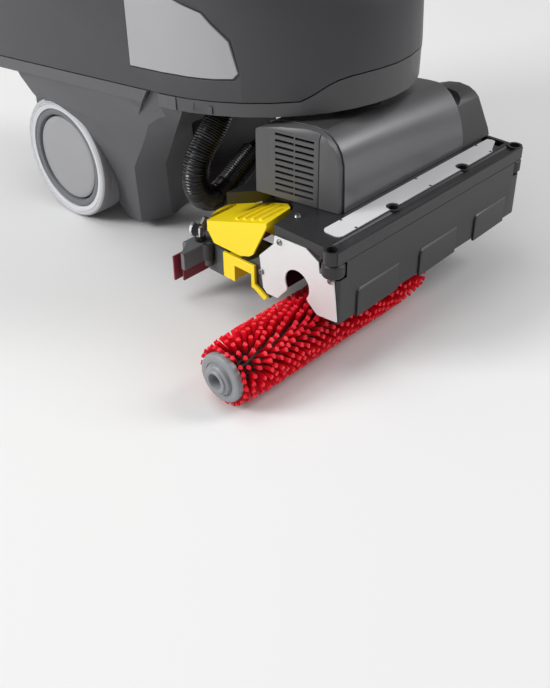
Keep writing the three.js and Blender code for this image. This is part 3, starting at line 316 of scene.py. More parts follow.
# ------------------------------------------------- axle and castor wheels
# Turned steel axle through the block; two small rubber castors under it
# carry the front of the block when the brush is off.
axle_steel = skin("axle_steel", (0.5, 0.5, 0.52), 0.3, metal=1, scale=300, depth=0.03)
rounded("rear_axle", axle_steel, edge=0.6)
castor_rubber = skin("castor_rubber", linear(58, 58, 60), 0.75)
for side in ("right", "left"):
    rounded("castor_wheel_" + side, castor_rubber, edge=0.8)


# ------------------------------------------------------------ rear wheels
# Light non-marking tyre with fine grooves round its shoulder, on a grey
# moulded rim; a plain cap sits a little way inside the rim ring.
def lathe_x(name, profile, at, segments, closed=False):
    """Turned mesh round the X axis from (radius, x) points."""
    shape = bmesh.new()
    rings = []
    for r, x in profile:
        if r < 1e-6:
            rings.append([shape.verts.new(spot(at[0] + x, at[1], at[2]))])
            continue
        around = []
        for k in range(segments):
            t = 2 * math.pi * k / segments
            around.append(shape.verts.new(spot(at[0] + x, at[1] + r * math.cos(t), at[2] + r * math.sin(t))))
        rings.append(around)
    pairs = list(zip(rings, rings[1:]))
    if closed:
        pairs.append((rings[-1], rings[0]))
    for a, b in pairs:
        for k in range(segments):
            n = (k + 1) % segments
            corners = [a[k % len(a)], a[n % len(a)], b[n % len(b)], b[k % len(b)]]
            unique = list(dict.fromkeys(corners))
            if len(unique) > 2:
                shape.faces.new(unique)
    bmesh.ops.recalc_face_normals(shape, faces=shape.faces)
    mesh = bpy.data.meshes.new(name)
    shape.to_mesh(mesh)
    shape.free()
    smooth_by_angle(mesh, 32)
    return mesh


def grooved(profile_from, profile_to, count, depth):
    """Small concentric steps between two (radius, x) points."""
    points = []
    (r0, x0), (r1, x1) = profile_from, profile_to
    for i in range(count):
        for share, sink in ((0.0, 0), (0.62, 0), (0.72, depth), (0.9, depth)):
            t = (i + share) / count
            points.append((r0 + (r1 - r0) * t, x0 + (x1 - x0) * t + sink))
    return points


def second_tone(piece, finish, chosen):
    """Faces whose middle, in millimetres from the datum, is chosen take finish."""
    piece.data.materials.append(finish)
    for face in piece.data.polygons:
        if chosen(reading(face.center), face.normal):
            face.material_index = len(piece.data.materials) - 1


tyre_rubber = skin("tyre_rubber", linear(206, 207, 210), 0.62, scale=700, depth=0.12)
tread_rubber = skin("tread_rubber", linear(124, 124, 127), 0.7, scale=700, depth=0.12)
rim_grey = skin("rim_grey", linear(108, 109, 112), 0.5)
cap_grey = skin("cap_grey", linear(154, 154, 156), 0.42, scale=1500, depth=0.06)
TREAD_FROM, BLOCKS, BLOCK_PITCH = 98.2, 9, 3.6
for side, sign in (("right", 1), ("left", -1)):
    shoulder = grooved((88.5, -163.8), (97, -164.0), 3, 1.3)
    tread = [(98.6, -161.6), (99.8, -158.5)]
    for i in range(BLOCKS):
        x = -155.5 + i * BLOCK_PITCH
        tread += [(99.9, x), (99.9, x + 2.4), (99.1, x + 2.7), (99.1, x + 3.3)]
    profile = [(83.2, -162.6), *shoulder, (96.6, -163.8), *tread]
    profile += [(99.6, -122.8), (97.6, -118.6), (93.5, -116.2), (83.2, -117)]
    profile = [(r, x * sign) for r, x in profile]
    mesh = lathe_x("tyre_" + side, profile, (0, 0, AXLE_HIGH), 128, closed=True)
    tyre = new_piece("tyre_" + side + "_body", mesh, tyre_rubber, "wheel_" + side, "tyre_" + side)
    second_tone(tyre, tread_rubber, lambda p, n: math.hypot(p.y, p.z - AXLE_HIGH) > TREAD_FROM)
    ring = [
        (12.4, -147.9), (70.6, -147.9), (71.4, -149.4), (72.2, -158.8), (73.4, -160.6), (75.2, -161.4),
        (80.6, -161.4), (82.4, -160.6), (82.7, -159.2), (82.7, -118.4), (76, -118.4), (73, -140),
        (24, -140), (22, -113.2), (12.4, -113.2)
    ]
    mesh = lathe_x("rim_" + side, [(r, x * sign) for r, x in ring], (0, 0, AXLE_HIGH), 96, closed=True)
    new_piece("rim_" + side + "_body", mesh, rim_grey, "wheel_" + side, "rim_" + side)
    disc = [
        (0, -148.5), (66, -148.5), (68.6, -150.2), (69.0, -151.4), (69.0, -156.4), (68.2, -157.8),
        (66.4, -158.7), (60, -159.3), (30, -160.3), (0, -160.5)
    ]
    mesh = lathe_x("hub_cap_" + side, [(r, x * sign) for r, x in disc], (0, 0, AXLE_HIGH), 96)
    new_piece("hub_cap_" + side + "_body", mesh, cap_grey, "wheel_" + side, "hub_cap_" + side)

# ------------------------------------------------- machinery in the block
# Battery in its well with two posts and a carry strap bridge; round turbine
# behind it. Both are shut in by the tank.
battery_case = skin("battery_case", linear(52, 54, 58), 0.5)
rounded("battery_pack", battery_case, edge=1.2)
turbine_case = skin("turbine_case", linear(78, 80, 84), 0.45)
rounded("suction_turbine", turbine_case, edge=0.8)

# --------------------------------------------- skirt, kingpin, hose socket
# Black open-bottomed tray under the nose of the tank, with the steel kingpin
# that the brush head turns on and the socket for the hose. Behind it a black
# sheet between the wheels is painted shade, standing in for the shadow there.
skirt_black = skin("skirt_black", linear(72, 72, 74), 0.42, scale=1500, depth=0.1)
rounded("front_skirt", skirt_black, edge=0.9)
rounded("kingpin", axle_steel, edge=0.5)
hose_black = skin("hose_black", linear(20, 20, 21), 0.26, depth=0.05)
rounded("hose_socket", hose_black, edge=0.7)
# Painted shade: a black sheet hung between the wheels where there is only shadow.
SHADE_SHEET_Y = -236
SHADE_SHEET = [(-50, 58), (50, 58), (88, 110), (88, 246), (-88, 246), (-88, 110)]
liner("shade_sheet", [(x, SHADE_SHEET_Y, z) for x, z in SHADE_SHEET], (0, 4, 0), hose_black, "chassis", sides=(1,))

# ------------------------------------------------------- fresh-water tank
# Blow-moulded dark tank with a rounded nose, pale panels let into its sides,
# a screw cap over the fill mouth and a drain plug at the back.
tank_dark = skin("tank_dark", linear(58, 58, 61), 0.45, scale=1300, depth=0.14)
rounded("fresh_water_tank", tank_dark, edge=1.6, steps=3, sharp=34, flat=0.2)
panel_grey = skin("panel_grey", linear(160, 160, 162), 0.4, scale=1500, depth=0.06)
for side in ("right", "left"):
    rounded("side_panel_" + side, panel_grey, edge=0.5, sharp=34)
control_yellow = skin("control_yellow", linear(255, 224, 24), 0.36, scale=1500, depth=0.05, vary=0.03)
rounded("fill_cap", control_yellow, edge=0.9)
rounded("drain_plug", hose_black, edge=0.9)

# -------------------------------------------------------------- lift yoke
# Welded and coated yoke that turns on the kingpin. Two rods on it guide the
# brush head as it goes up and down.
yoke_coat = skin("yoke_coat", linear(70, 71, 74), 0.4, metal=0.3)
rounded("lift_yoke", yoke_coat, edge=0.7)

# ------------------------------------------------ brush chamber and deck
# Dark moulded chamber over the brush with three relief pads on its front and
# a splash wall inside; a lighter grey on the pads' sloped top edges is a
# painted highlight. A deck plate with a drip gutter closes it, and a satin
# metal strip lies along the deck, with six small dark squares on it as
# painted shade for its slots.
head_dark = skin("head_dark", linear(38, 38, 40), 0.34, scale=1600, depth=0.08)


def pad_top_corner(a, b):
    """An edge that runs back along the upper end of a relief pad."""
    return min(a.z, b.z) > 119 and max(a.z, b.z) < 123 and abs(a.x - b.x) < 1 and abs(a.y - b.y) > 1.5


def front_corner(a, b):
    """One of the two upright front corners of the chamber."""
    return min(abs(a.x), abs(b.x)) > 203 and max(a.y, b.y) < -618.5 and abs(a.z - b.z) > 60


chamber = rounded(
    "brush_chamber", head_dark, edge=1.0, ease=((5.6, pad_top_corner), (5, front_corner)),
    slope=(2, lambda p: p.y < -619.2 and abs(p.z - 122) < 0.5)
)
# A lighter grey on the pads' sloped top edges is a painted highlight.
painted_edge_highlight = skin("painted_edge_highlight", linear(92, 92, 94), 0.3, scale=1600, depth=0.05)
second_tone(chamber, painted_edge_highlight, lambda p, n: p.y < -619 and 119 < p.z < 122.5 and 0.5 < n.z < 0.95)
WALL_Y = -494
WALL = [(-196, 66), (196, 66), (196, 92), (-196, 92)]
liner("splash_wall", [(x, WALL_Y, z) for x, z in WALL], (0, 5, 0), head_dark, "head", sides=(1,))
rounded("deck_plate", head_dark, edge=1.3, steps=3)
strip_metal = skin("strip_metal", linear(212, 212, 214), 0.4, scale=250, depth=0.03)
strip_ends = (5, lambda a, b: abs(a.z - b.z) > 1 and max(a.x, b.x) < -172)
rounded("deck_strip", strip_metal, edge=0.5, ease=(strip_ends,))
# Six small dark squares raised on the strip: painted shade standing in for the shadow in its slots.
STRIP_TOP = 191.2
SLOT_SHADE = [(-1.6, -1.7), (1.6, -1.7), (1.6, 1.7), (-1.6, 1.7)]
SLOT_SHADE_PLACES = ((-142, -568.6), (-144, -594.8), (15, -568.6), (12, -594.8), (160, -568.6), (157, -594.8))
for count, (x, y) in enumerate(SLOT_SHADE_PLACES):
    slot_shade = [(x + dx, y + dy, STRIP_TOP) for dx, dy in SLOT_SHADE]
    liner("strip_slot_shade_%d" % count, slot_shade, (0, 0, 0.75), head_dark, "head", sides=(1,))


# ------------------------------------------------------------ screw heads
# Button-head screws with a hexagon socket hold the plate, the deck and the
# brackets. One tree sets a screw on each point, all facing one way.
def new_tree(name, labels):
    """Geometry tree and its input node: the seed, named inputs, a material."""
    tree = bpy.data.node_groups.new(name, "GeometryNodeTree")
    for label, kind in (("Geometry", "Geometry"), *labels, ("Material", "Material")):
        tree.interface.new_socket(name=label, in_out="INPUT", socket_type="NodeSocket" + kind)
    tree.interface.new_socket(name="Geometry", in_out="OUTPUT", socket_type="NodeSocketGeometry")
    return tree, tree.nodes.new("NodeGroupInput")


def close_tree(tree, given, made):
    """Ends a tree: copies made real, the given material set on them."""
    nodes, links = tree.nodes, tree.links
    real = nodes.new("GeometryNodeRealizeInstances")
    links.new(made, real.inputs["Geometry"])
    coat = nodes.new("GeometryNodeSetMaterial")
    links.new(real.outputs["Geometry"], coat.inputs["Geometry"])
    links.new(given.outputs["Material"], coat.inputs["Material"])
    out = nodes.new("NodeGroupOutput")
    links.new(coat.outputs["Geometry"], out.inputs["Geometry"])


def worked(tree, operation, first, second=None):
    """Math node of a tree; either side is a number or another node's output."""
    step = tree.nodes.new("ShaderNodeMath")
    step.operation = operation
    for socket, value in zip(step.inputs, (first, second)):
        if isinstance(value, (int, float)):
            socket.default_value = value
        elif value is not None:
            tree.links.new(value, socket)
    return step.outputs[0]


def screw_tree():
    """A button head with a hexagon socket on every seed point."""
    tree, given = new_tree(
        "screw_heads", (("Head Radius", "Float"), ("Head Height", "Float"), ("Facing", "Vector"))
    )
    nodes, links = tree.nodes, tree.links
    radius, height = given.outputs["Head Radius"], given.outputs["Head Height"]
    head = nodes.new("GeometryNodeMeshCone")
    head.inputs["Vertices"].default_value = 24
    links.new(radius, head.inputs["Radius Bottom"])
    links.new(worked(tree, "MULTIPLY", radius, 0.74), head.inputs["Radius Top"])
    links.new(height, head.inputs["Depth"])
    recess = nodes.new("GeometryNodeMeshCylinder")
    recess.inputs["Vertices"].default_value = 6
    links.new(worked(tree, "MULTIPLY", radius, 0.46), recess.inputs["Radius"])
    links.new(height, recess.inputs["Depth"])
    lift = nodes.new("ShaderNodeCombineXYZ")
    links.new(worked(tree, "MULTIPLY", height, 0.9), lift.inputs["Z"])
    raised = nodes.new("GeometryNodeTransform")
    links.new(recess.outputs["Mesh"], raised.inputs["Geometry"])
    links.new(lift.outputs["Vector"], raised.inputs["Translation"])
    bite = nodes.new("GeometryNodeMeshBoolean")
    bite.operation = "DIFFERENCE"
    links.new(head.outputs["Mesh"], bite.inputs["Mesh 1"])
    links.new(raised.outputs["Geometry"], bite.inputs["Mesh 2"])
    turn = nodes.new("FunctionNodeAlignRotationToVector")
    turn.axis = "Z"
    links.new(given.outputs["Facing"], turn.inputs["Vector"])
    copies = nodes.new("GeometryNodeInstanceOnPoints")
    links.new(given.outputs["Geometry"], copies.inputs["Points"])
    links.new(bite.outputs["Mesh"], copies.inputs["Instance"])
    links.new(turn.outputs["Rotation"], copies.inputs["Rotation"])
    close_tree(tree, given, copies.outputs["Instances"])
    return tree


SCREWS = screw_tree()


def baked(name, seed_mesh, tree, values):
    """Runs a geometry tree on a seed mesh and keeps the plain mesh it makes."""
    holder = bpy.data.objects.new(name + "_seed", seed_mesh)
    scene.collection.objects.link(holder)
    step = holder.modifiers.new("make", "NODES")
    step.node_group = tree
    for item in tree.interface.items_tree:
        if item.item_type == "SOCKET" and item.in_out == "INPUT" and item.name in values:
            step[item.identifier] = values[item.name]
    graph = bpy.context.evaluated_depsgraph_get()
    mesh = bpy.data.meshes.new_from_object(holder.evaluated_get(graph), depsgraph=graph)
    mesh.name = name
    bpy.data.objects.remove(holder)
    return mesh


def screws(name, places, facing, body, finish, head, tall):
    """Screws at (x, y, z) places on one body; each stands half out of its seat."""
    seeds = bpy.data.meshes.new(name + "_places")
    seeds.from_pydata([spot(*place) for place in places], [], [])
    values = {"Head Radius": head * MM, "Head Height": tall * MM, "Facing": facing, "Material": finish}
    mesh = baked(name, seeds, SCREWS, values)
    smooth_by_angle(mesh, 30)
    return new_piece(name, mesh, None, body)


screw_steel = skin("screw_steel", (0.36, 0.36, 0.37), 0.32, metal=1, scale=400, depth=0.02)
screws("deck_screws", [(-68, -594.5, 181), (90, -593, 181)], (0, 0, 1), "head", screw_steel, 5.2, 2.4)
screws("corner_screws", [(-203, -607, 181), (203, -607, 181)], (0, 0, 1), "head", screw_steel, 5.6, 2.6)
screws("rear_deck_screw", [(-170, -520, 190.4)], (0, 0, 1), "head", screw_steel, 5.0, 2.4)


# ------------------------------------------- keyhole plate on the chamber
# Stainless sheet, cut by laser and held by three screws; the round hole
# lets the end of the brush through when it is changed.
def rolled_group():
    """Fine lines that sheet metal keeps from rolling, along one direction."""
    group = bpy.data.node_groups.new("rolled_lines", "ShaderNodeTree")
    for label, kind in (("Stretch", "NodeSocketVector"), ("Depth", "NodeSocketFloat")):
        group.interface.new_socket(name=label, in_out="INPUT", socket_type=kind)
    group.interface.new_socket(name="Normal", in_out="OUTPUT", socket_type="NodeSocketVector")
    group.interface.new_socket(name="Mask", in_out="OUTPUT", socket_type="NodeSocketFloat")
    nodes, links = group.nodes, group.links
    given = nodes.new("NodeGroupInput")
    out = nodes.new("NodeGroupOutput")
    place = nodes.new("ShaderNodeTexCoord")
    longer = nodes.new("ShaderNodeVectorMath")
    longer.operation = "MULTIPLY"
    links.new(place.outputs["Object"], longer.inputs[0])
    links.new(given.outputs["Stretch"], longer.inputs[1])
    lines = nodes.new("ShaderNodeTexNoise")
    lines.inputs["Scale"].default_value = 1
    lines.inputs["Detail"].default_value = 4
    links.new(longer.outputs["Vector"], lines.inputs["Vector"])
    bump = nodes.new("ShaderNodeBump")
    bump.inputs["Distance"].default_value = 0.0002
    links.new(lines.outputs["Fac"], bump.inputs["Height"])
    links.new(given.outputs["Depth"], bump.inputs["Strength"])
    links.new(bump.outputs["Normal"], out.inputs["Normal"])
    links.new(lines.outputs["Fac"], out.inputs["Mask"])
    return group


ROLLED = rolled_group()
STEEL = (0.84, 0.84, 0.845)
stainless = finish_from(
    "stainless", ROLLED, {"Stretch": (400, 30, 900), "Depth": 0.06}, 0.35,
    [c * 0.9 for c in STEEL], STEEL, 0.5, spread=0.06
)
rounded("side_plate", stainless, edge=0.4)
PLATE_X = -206.4
plate_places = [(PLATE_X, y, z) for y, z in ((-522, 168), (-489, 111), (-608, 147))]
screws("plate_screws", plate_places, (-1, 0, 0), "head", screw_steel, 4.6, 2.2)


# ---------------------------------------------------- motor cover, housing
# Gloss-black bent cover over the motor, a moulded grey louvre housing on its
# service end and a moulded lobe over the belt at the other end.
def seam(piece, near, far, depth):
    """Sinks a narrow upright seam into the service side between two y places."""
    shape = bmesh.new()
    shape.from_mesh(piece.data)
    for y in (near, far):
        everything = [*shape.verts, *shape.edges, *shape.faces]
        bmesh.ops.bisect_plane(shape, geom=everything, plane_co=spot(0, y, 0), plane_no=(0, 1, 0), dist=1e-6)
    picked = []
    for face in shape.faces:
        place = reading(face.calc_center_median())
        if min(near, far) < place.y < max(near, far) and face.normal.x < -0.6 and place.x < -130:
            picked.append(face)
    bmesh.ops.inset_region(shape, faces=picked, thickness=0, depth=-depth * MM, use_even_offset=False)
    shape.to_mesh(piece.data)
    shape.free()


gloss_cover = skin("gloss_cover", linear(118, 118, 120), 0.36, metal=0.78, scale=1500, depth=0.04)
rounded("motor_cover", gloss_cover, edge=1.4, steps=3, sharp=34, flat=0.1)
housing_grey = skin("housing_grey", linear(84, 84, 86), 0.42, scale=1600, depth=0.08)
housing_rim = (3.4, lambda a, b: max(a.x, b.x) < -127 and max(a.y, b.y) < -529 and min(a.x, b.x) > -134)
housing_back = (5, lambda a, b: max(a.x, b.x) < -156 and abs(a.z - b.z) > 60)
housing = rounded("louvre_housing", housing_grey, edge=0.6, sharp=32, ease=(housing_rim, housing_back))
seam(housing, -525, -526.4, 1.6)
lobe_dark = skin("lobe_dark", linear(66, 66, 68), 0.38, scale=1600, depth=0.08)
rounded("belt_cover", lobe_dark, edge=1.2, steps=3, sharp=34)

# ------------------------------------------ motor, pulleys, belt and dog
# Cast motor with a turned pulley; a black belt takes the drive down to the
# dog that turns the brush. A blue pipe wets the brush from above.
motor_cast = skin("motor_cast", linear(120, 122, 126), 0.4, metal=0.7, scale=600, depth=0.2)
rounded("drive_motor", motor_cast, edge=0.8)
rounded("motor_pulley", axle_steel, edge=0.4)
rounded("drive_dog", axle_steel, edge=0.5)
belt_rubber = skin("belt_rubber", linear(30, 30, 31), 0.7, scale=1200, depth=0.2)
rounded("drive_belt", belt_rubber, edge=0)
pipe_blue = skin("pipe_blue", linear(60, 118, 158), 0.35)
rounded("spray_bar", pipe_blue, edge=0)

# --------------------------------------------------- corner, guide rollers
# Black moulded rollers turn on pins at the two front corners and at the rear
# of the service side, so the head rolls along a wall.
roller_black = skin("roller_black", linear(40, 41, 43), 0.5)
for node in ("corner_roller_right", "corner_roller_left", "guide_roller"):
    rounded(node, roller_black, edge=0.9)

# ------------------------------------------- latch block, lever and pedal
# Dark moulded block behind the chamber; the yellow pedal hinges on it and
# pulls the yellow release lever down.
block_dark = skin("block_dark", linear(74, 75, 78), 0.45)
rounded("latch_block", block_dark, edge=0.7)
rounded("release_lever", control_yellow, edge=0.7)
pedal = rounded("pedal", control_yellow, edge=0.8, steps=3, flat=0.3)
# A darker yellow on the front-facing flanks of the pedal's ridges is painted shade.
painted_ridge_shade = skin("painted_ridge_shade", linear(238, 204, 18), 0.42, scale=1500, depth=0.05, vary=0.03)
second_tone(pedal, painted_ridge_shade, lambda p, n: p.z > 160 and -0.7 < n.y < -0.45 and n.z > 0.7)

# ------------------------------------------------------------ suction bar
# Folded and coated channel with two dark-red rubber lips under it; polished
# wing knobs on black bases clamp the lips.
frame_grey = skin("frame_grey", linear(112, 113, 116), 0.42, metal=0.2)
rounded("squeegee_frame", frame_grey, edge=0.8)
lip_red = skin("lip_red", linear(128, 34, 50), 0.55, scale=800, depth=0.08)
for which in ("front", "rear"):
    rounded("squeegee_lip_" + which, lip_red, edge=0.5)
polished = skin("polished", (0.72, 0.72, 0.73), 0.14, metal=1, scale=200, depth=0.01)
KNOB_BASE_TOP = 93.5
for side in ("right", "left"):
    knob = rounded("squeegee_knob_" + side, polished, edge=0.6)
    second_tone(knob, hose_black, lambda p, n: p.z < KNOB_BASE_TOP)
rounded("suction_nozzle", hose_black, edge=0.6)


# --------------------------------------------------------- suction hose
# Ribbed black hose from the socket under the tank, looping down and forward
# to the nozzle on the suction bar. A fine rib repeats all along it.
def rib_tree():
    """Round tube along the seed line, waved in radius from rib to rib."""
    tree, given = new_tree("hose_ribs", (("Radius", "Float"), ("Rib Depth", "Float"), ("Rib Pitch", "Float")))
    nodes, links = tree.nodes, tree.links
    pitch = given.outputs["Rib Pitch"]
    line = nodes.new("GeometryNodeMeshToCurve")
    links.new(given.outputs["Geometry"], line.inputs["Mesh"])
    fine = nodes.new("GeometryNodeResampleCurve")
    fine.mode = "LENGTH"
    links.new(line.outputs["Curve"], fine.inputs["Curve"])
    links.new(worked(tree, "DIVIDE", pitch, 6.0), fine.inputs["Length"])
    along = nodes.new("GeometryNodeSplineParameter")
    turns = worked(tree, "DIVIDE", along.outputs["Length"], pitch)
    wave = worked(tree, "COSINE", worked(tree, "MULTIPLY", turns, 2 * math.pi))
    dip = worked(tree, "MULTIPLY", worked(tree, "SUBTRACT", 1.0, wave), given.outputs["Rib Depth"])
    radius = worked(tree, "SUBTRACT", given.outputs["Radius"], worked(tree, "MULTIPLY", dip, 0.5))
    circle = nodes.new("GeometryNodeCurvePrimitiveCircle")
    circle.inputs["Resolution"].default_value = 40
    circle.inputs["Radius"].default_value = 1
    tube = nodes.new("GeometryNodeCurveToMesh")
    links.new(fine.outputs["Curve"], tube.inputs["Curve"])
    links.new(circle.outputs["Curve"], tube.inputs["Profile Curve"])
    links.new(radius, tube.inputs["Scale"])
    close_tree(tree, given, tube.outputs["Mesh"])
    return tree


def smooth_route(points, steps):
    """Evenly smooth curve through the points (Catmull-Rom)."""
    route = []
    ends = [2 * points[0] - points[1], *points, 2 * points[-1] - points[-2]]
    for a, b, c, d in zip(ends, ends[1:], ends[2:], ends[3:]):
        square, cube = 2 * a - 5 * b + 4 * c - d, 3 * b - a - 3 * c + d
        for k in range(steps):
            t = k / steps
            route.append(0.5 * (2 * b + (c - a) * t + square * t**2 + cube * t**3))
    route.append(points[-1])
    return route


HOSE_Y = -332
HOSE_ROUTE = [
    (-120, 272), (-125, 259), (-138, 242), (-153, 227), (-167, 209), (-174, 190),
    (-173, 168), (-162, 149), (-143, 140), (-120, 146), (-90, 164), (-58, 182)
]
route = smooth_route([spot(x, HOSE_Y, z) for x, z in HOSE_ROUTE], 8)
hose_line = bpy.data.meshes.new("hose_line")
hose_line.from_pydata(route, [(i, i + 1) for i in range(len(route) - 1)], [])
rib_sizes = {"Radius": 19 * MM, "Rib Depth": 1.7 * MM, "Rib Pitch": 3.6 * MM, "Material": hose_black}
hose_mesh = baked("suction_hose_ribbed", hose_line, rib_tree(), rib_sizes)
smooth_by_angle(hose_mesh, 60)
hose = new_piece("suction_hose_ribbed", hose_mesh, None, None, "suction_hose")
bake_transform(hose)


# ----------------------------------------------------------- roller brush
# Black moulded core with rows of red nylon tufts set in it; the end hub is a
# grey stepped moulding that the chamber holds.
GOLDEN_ANGLE = 2.39996


def tuft_tree():
    """A bundle of bristles on every seed point, along its "stand" direction."""
    sizes = [(label, "Float") for label in ("Length", "Foot Radius", "Bristle Radius", "Splay")]
    tree, given = new_tree("bristle_tufts", (*sizes, ("Bristles", "Int"), ("Seed", "Int")))
    nodes, links = tree.nodes, tree.links

    rod = nodes.new("GeometryNodeMeshCone")
    rod.inputs["Vertices"].default_value = 4
    rod.inputs["Radius Top"].default_value = 1.0
    rod.inputs["Radius Bottom"].default_value = 0.8
    rod.inputs["Depth"].default_value = 1.0

    seeds = nodes.new("GeometryNodeMeshToPoints")
    links.new(given.outputs["Geometry"], seeds.inputs["Mesh"])
    bundle = nodes.new("GeometryNodeDuplicateElements")
    bundle.domain = "POINT"
    links.new(seeds.outputs["Points"], bundle.inputs["Geometry"])
    links.new(given.outputs["Bristles"], bundle.inputs["Amount"])

    # Each bristle keeps its own place in the bundle: turned by the golden angle
    # and set out by the root of its number, so the bundle is evenly filled.
    stand = nodes.new("GeometryNodeInputNamedAttribute")
    stand.data_type = "FLOAT_VECTOR"
    stand.inputs["Name"].default_value = "stand"
    upright = nodes.new("FunctionNodeAlignRotationToVector")
    upright.axis = "Z"
    links.new(stand.outputs["Attribute"], upright.inputs["Vector"])

    number = bundle.outputs["Duplicate Index"]
    spin = worked(tree, "MULTIPLY", number, GOLDEN_ANGLE)
    share = worked(tree, "DIVIDE", worked(tree, "ADD", number, 0.3), given.outputs["Bristles"])
    reach = worked(tree, "SQRT", share)
    place = nodes.new("ShaderNodeCombineXYZ")
    links.new(worked(tree, "MULTIPLY", reach, worked(tree, "COSINE", spin)), place.inputs["X"])
    links.new(worked(tree, "MULTIPLY", reach, worked(tree, "SINE", spin)), place.inputs["Y"])
    across = nodes.new("FunctionNodeRotateVector")
    links.new(place.outputs["Vector"], across.inputs["Vector"])
    links.new(upright.outputs["Rotation"], across.inputs["Rotation"])
    push = nodes.new("GeometryNodeStoreNamedAttribute")
    push.data_type = "FLOAT_VECTOR"
    push.inputs["Name"].default_value = "push"
    links.new(bundle.outputs["Geometry"], push.inputs["Geometry"])
    links.new(across.outputs["Vector"], push.inputs["Value"])
    pushed = nodes.new("GeometryNodeInputNamedAttribute")
    pushed.data_type = "FLOAT_VECTOR"
    pushed.inputs["Name"].default_value = "push"

    def scaled(vector, factor):
        times = nodes.new("ShaderNodeVectorMath")
        times.operation = "SCALE"
        links.new(vector, times.inputs[0])
        links.new(given.outputs[factor], times.inputs["Scale"])
        return times.outputs["Vector"]

    feet = nodes.new("GeometryNodeSetPosition")
    links.new(push.outputs["Geometry"], feet.inputs["Geometry"])
    links.new(scaled(pushed.outputs["Attribute"], "Foot Radius"), feet.inputs["Offset"])
    aim = nodes.new("ShaderNodeVectorMath")
    aim.operation = "ADD"
    links.new(stand.outputs["Attribute"], aim.inputs[0])
    links.new(scaled(pushed.outputs["Attribute"], "Splay"), aim.inputs[1])
    turn = nodes.new("FunctionNodeAlignRotationToVector")
    turn.axis = "Z"
    links.new(aim.outputs["Vector"], turn.inputs["Vector"])
    trim = nodes.new("FunctionNodeRandomValue")
    trim.inputs["Min"].default_value = 0.96
    trim.inputs["Max"].default_value = 1.0
    links.new(given.outputs["Seed"], trim.inputs["Seed"])
    size = nodes.new("ShaderNodeCombineXYZ")
    links.new(given.outputs["Bristle Radius"], size.inputs["X"])
    links.new(given.outputs["Bristle Radius"], size.inputs["Y"])
    links.new(worked(tree, "MULTIPLY", given.outputs["Length"], trim.outputs[1]), size.inputs["Z"])
    copies = nodes.new("GeometryNodeInstanceOnPoints")
    links.new(feet.outputs["Geometry"], copies.inputs["Points"])
    links.new(rod.outputs["Mesh"], copies.inputs["Instance"])
    links.new(turn.outputs["Rotation"], copies.inputs["Rotation"])
    links.new(size.outputs["Vector"], copies.inputs["Scale"])
    close_tree(tree, given, copies.outputs["Instances"])
    return tree


core_black = skin("core_black", linear(22, 22, 23), 0.5)
BRUSH_Y, BRUSH_Z, BRUSH_START, BRUSH_LONG = -552, 45.4, -333, 350
core = [(0, -336), (18, -336), (23, -333), (23, 17), (18, 23), (13, 23), (13, 3), (0, 3)]
core_mesh = lathe_x("roller_core", core, (0, BRUSH_Y, BRUSH_Z), 64)
new_piece("roller_core_body", core_mesh, core_black, "roller", "roller_core")

bristle_red = bpy.data.materials.new("bristle_red")
bristle_red.use_nodes = True
red_nodes, red_links = bristle_red.node_tree.nodes, bristle_red.node_tree.links
red_shader = red_nodes["Principled BSDF"]
red_shader.inputs["Roughness"].default_value = 0.45
tip = red_nodes.new("ShaderNodeAttribute")
tip.attribute_name = "tip"
ramp = red_nodes.new("ShaderNodeValToRGB")
ramp.color_ramp.elements[0].position = 0.25
ramp.color_ramp.elements[0].color = (*linear(196, 6, 30), 1)
ramp.color_ramp.elements[1].position = 0.9
ramp.color_ramp.elements[1].color = (*linear(255, 22, 50), 1)
# The palest red at the very tips is a painted highlight.
painted_tip_highlight = ramp.color_ramp.elements.new(1.0)
painted_tip_highlight.color = (*linear(255, 50, 68), 1)
red_links.new(tip.outputs["Fac"], ramp.inputs["Fac"])
red_links.new(ramp.outputs["Color"], red_shader.inputs["Base Color"])

# Tufts stand in rings round the core, every second ring half a step on. The
# rings are turned on toward the middle, so the rows run in a shallow V, and
# the three rings at each end lean out past it.
ROWS, RING_PITCH, FOOT, TUFT_LONG = 22, 9.6, 22.6, 22.6
END_GAP, TWIST, END_LEAN, TILT, SIDEWAYS = 6, 1.1, 0.24, 0.11, 0.12
shake = random.Random(11)
planted = BRUSH_LONG - 2 * END_GAP
rings = int(planted / RING_PITCH)
feet, stands = [], []
for i in range(rings + 1):
    x = END_GAP + i * planted / rings
    share = x / BRUSH_LONG
    twist = TWIST * (1 - abs(2 * share - 1))
    lean = -END_LEAN * (max(0, 3 - i) - max(0, 3 - (rings - i)))
    for row in range(ROWS):
        t = 2 * math.pi * (row + (0.5 if i % 2 else 0)) / ROWS + twist
        out_y, out_z = math.cos(t), math.sin(t)
        feet.append(spot(BRUSH_START + x, BRUSH_Y + FOOT * out_y, BRUSH_Z + FOOT * out_z))
        tilt, side = shake.uniform(-TILT, TILT), shake.uniform(-SIDEWAYS, SIDEWAYS)
        stands.append((lean + tilt, out_y - side * out_z, out_z + side * out_y))
tuft_feet = bpy.data.meshes.new("tuft_feet")
tuft_feet.from_pydata(feet, [], [])
store = tuft_feet.attributes.new("stand", "FLOAT_VECTOR", "POINT")
store.data.foreach_set("vector", [v for stand in stands for v in stand])
tuft_sizes = {
    "Length": TUFT_LONG * MM, "Foot Radius": 1.5 * MM, "Bristle Radius": 1.1 * MM, "Splay": 0.05,
    "Bristles": 12, "Seed": 7, "Material": bristle_red
}
sleeve_mesh = baked("bristle_sleeve", tuft_feet, tuft_tree(), tuft_sizes)

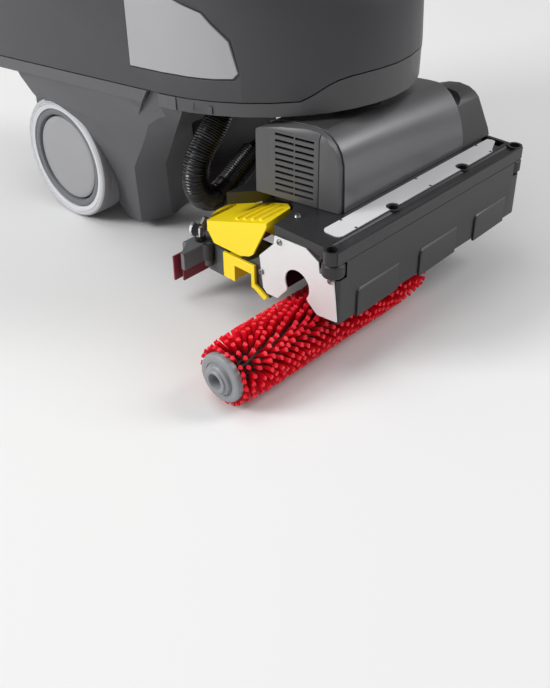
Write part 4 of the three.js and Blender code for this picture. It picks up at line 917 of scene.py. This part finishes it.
# How far up its tuft each point of a bristle is, for the colour: darker toward
# the roots, and a painted highlight in paler red at the tips.
TIP_AT = 22
height = sleeve_mesh.attributes.new("tip", "FLOAT", "POINT")
axis = spot(0, BRUSH_Y, BRUSH_Z)
radii = [math.hypot(v.co.y - axis.y, v.co.z - axis.z) / MM for v in sleeve_mesh.vertices]
height.data.foreach_set("value", [(r - FOOT) / TIP_AT for r in radii])
new_piece("bristle_tufts", sleeve_mesh, None, "roller", "bristle_sleeve")

hub_grey = skin("hub_grey", linear(140, 142, 145), 0.4, scale=1500, depth=0.05)
hub = [
    (0, -336.5), (31.5, -336.5), (33.2, -337.4), (34, -339.4), (34, -343.4), (33.2, -345.8),
    (31.2, -347.4), (28.6, -348), (23.6, -347.6), (22.6, -346.6), (21.6, -346.8), (21, -347.6),
    (20.6, -351), (19.4, -352.2), (17.4, -352.4), (16.6, -353), (16.2, -354.8), (15.2, -355.7),
    (12.6, -355.9), (11.2, -355.3), (10.4, -353.8), (9.8, -345), (8.4, -340.5), (0, -339.5)
]
hub_mesh = lathe_x("roller_hub", hub, (0, BRUSH_Y, BRUSH_Z), 96)
new_piece("roller_hub_body", hub_mesh, hub_grey, "roller_end", "roller_hub")

# ------------------------------------------------------ dirty-water tank
# Rotational-moulded tub that lifts out of the fresh-water tank, under a
# hinged lid with a finger grip at the front.
rounded("dirty_tank", tank_dark, edge=2.0, steps=3, sharp=34, flat=0.2)
rounded("tank_lid", tank_dark, edge=1.6, steps=3, sharp=34, flat=0.2)

# --------------------------------------------------- handle and controls
# Bent twin-tube handle in coated metal on a bolted bracket; rubber-covered
# bar, moulded panel with a dial, a start button and two triggers.
handle_coat = skin("handle_coat", linear(58, 59, 62), 0.38, metal=0.25)
rounded("handle_bracket", handle_coat, edge=0.8)
BRACKET_BACK = 158.6
bolt_places = [(x, BRACKET_BACK, z) for x in (-62, 62) for z in (150, 210)]
screws("bracket_bolts", bolt_places, (0, 1, 0), "chassis", screw_steel, 5.5, 3)
rounded("handle_column", handle_coat, edge=1.0, flat=0.2)
grip_black = skin("grip_black", linear(38, 38, 40), 0.65, scale=1100, depth=0.35)
rounded("handlebar", grip_black, edge=0.8, flat=0.2)
panel_dark = skin("panel_dark", linear(48, 49, 52), 0.4)
rounded("control_panel", panel_dark, edge=1.0, steps=3)
rounded("mode_dial", control_yellow, edge=0.8)
button_green = skin("button_green", linear(56, 156, 78), 0.3)
rounded("start_button", button_green, edge=0.6)
for side in ("right", "left"):
    rounded("trigger_" + side, control_yellow, edge=0.7)
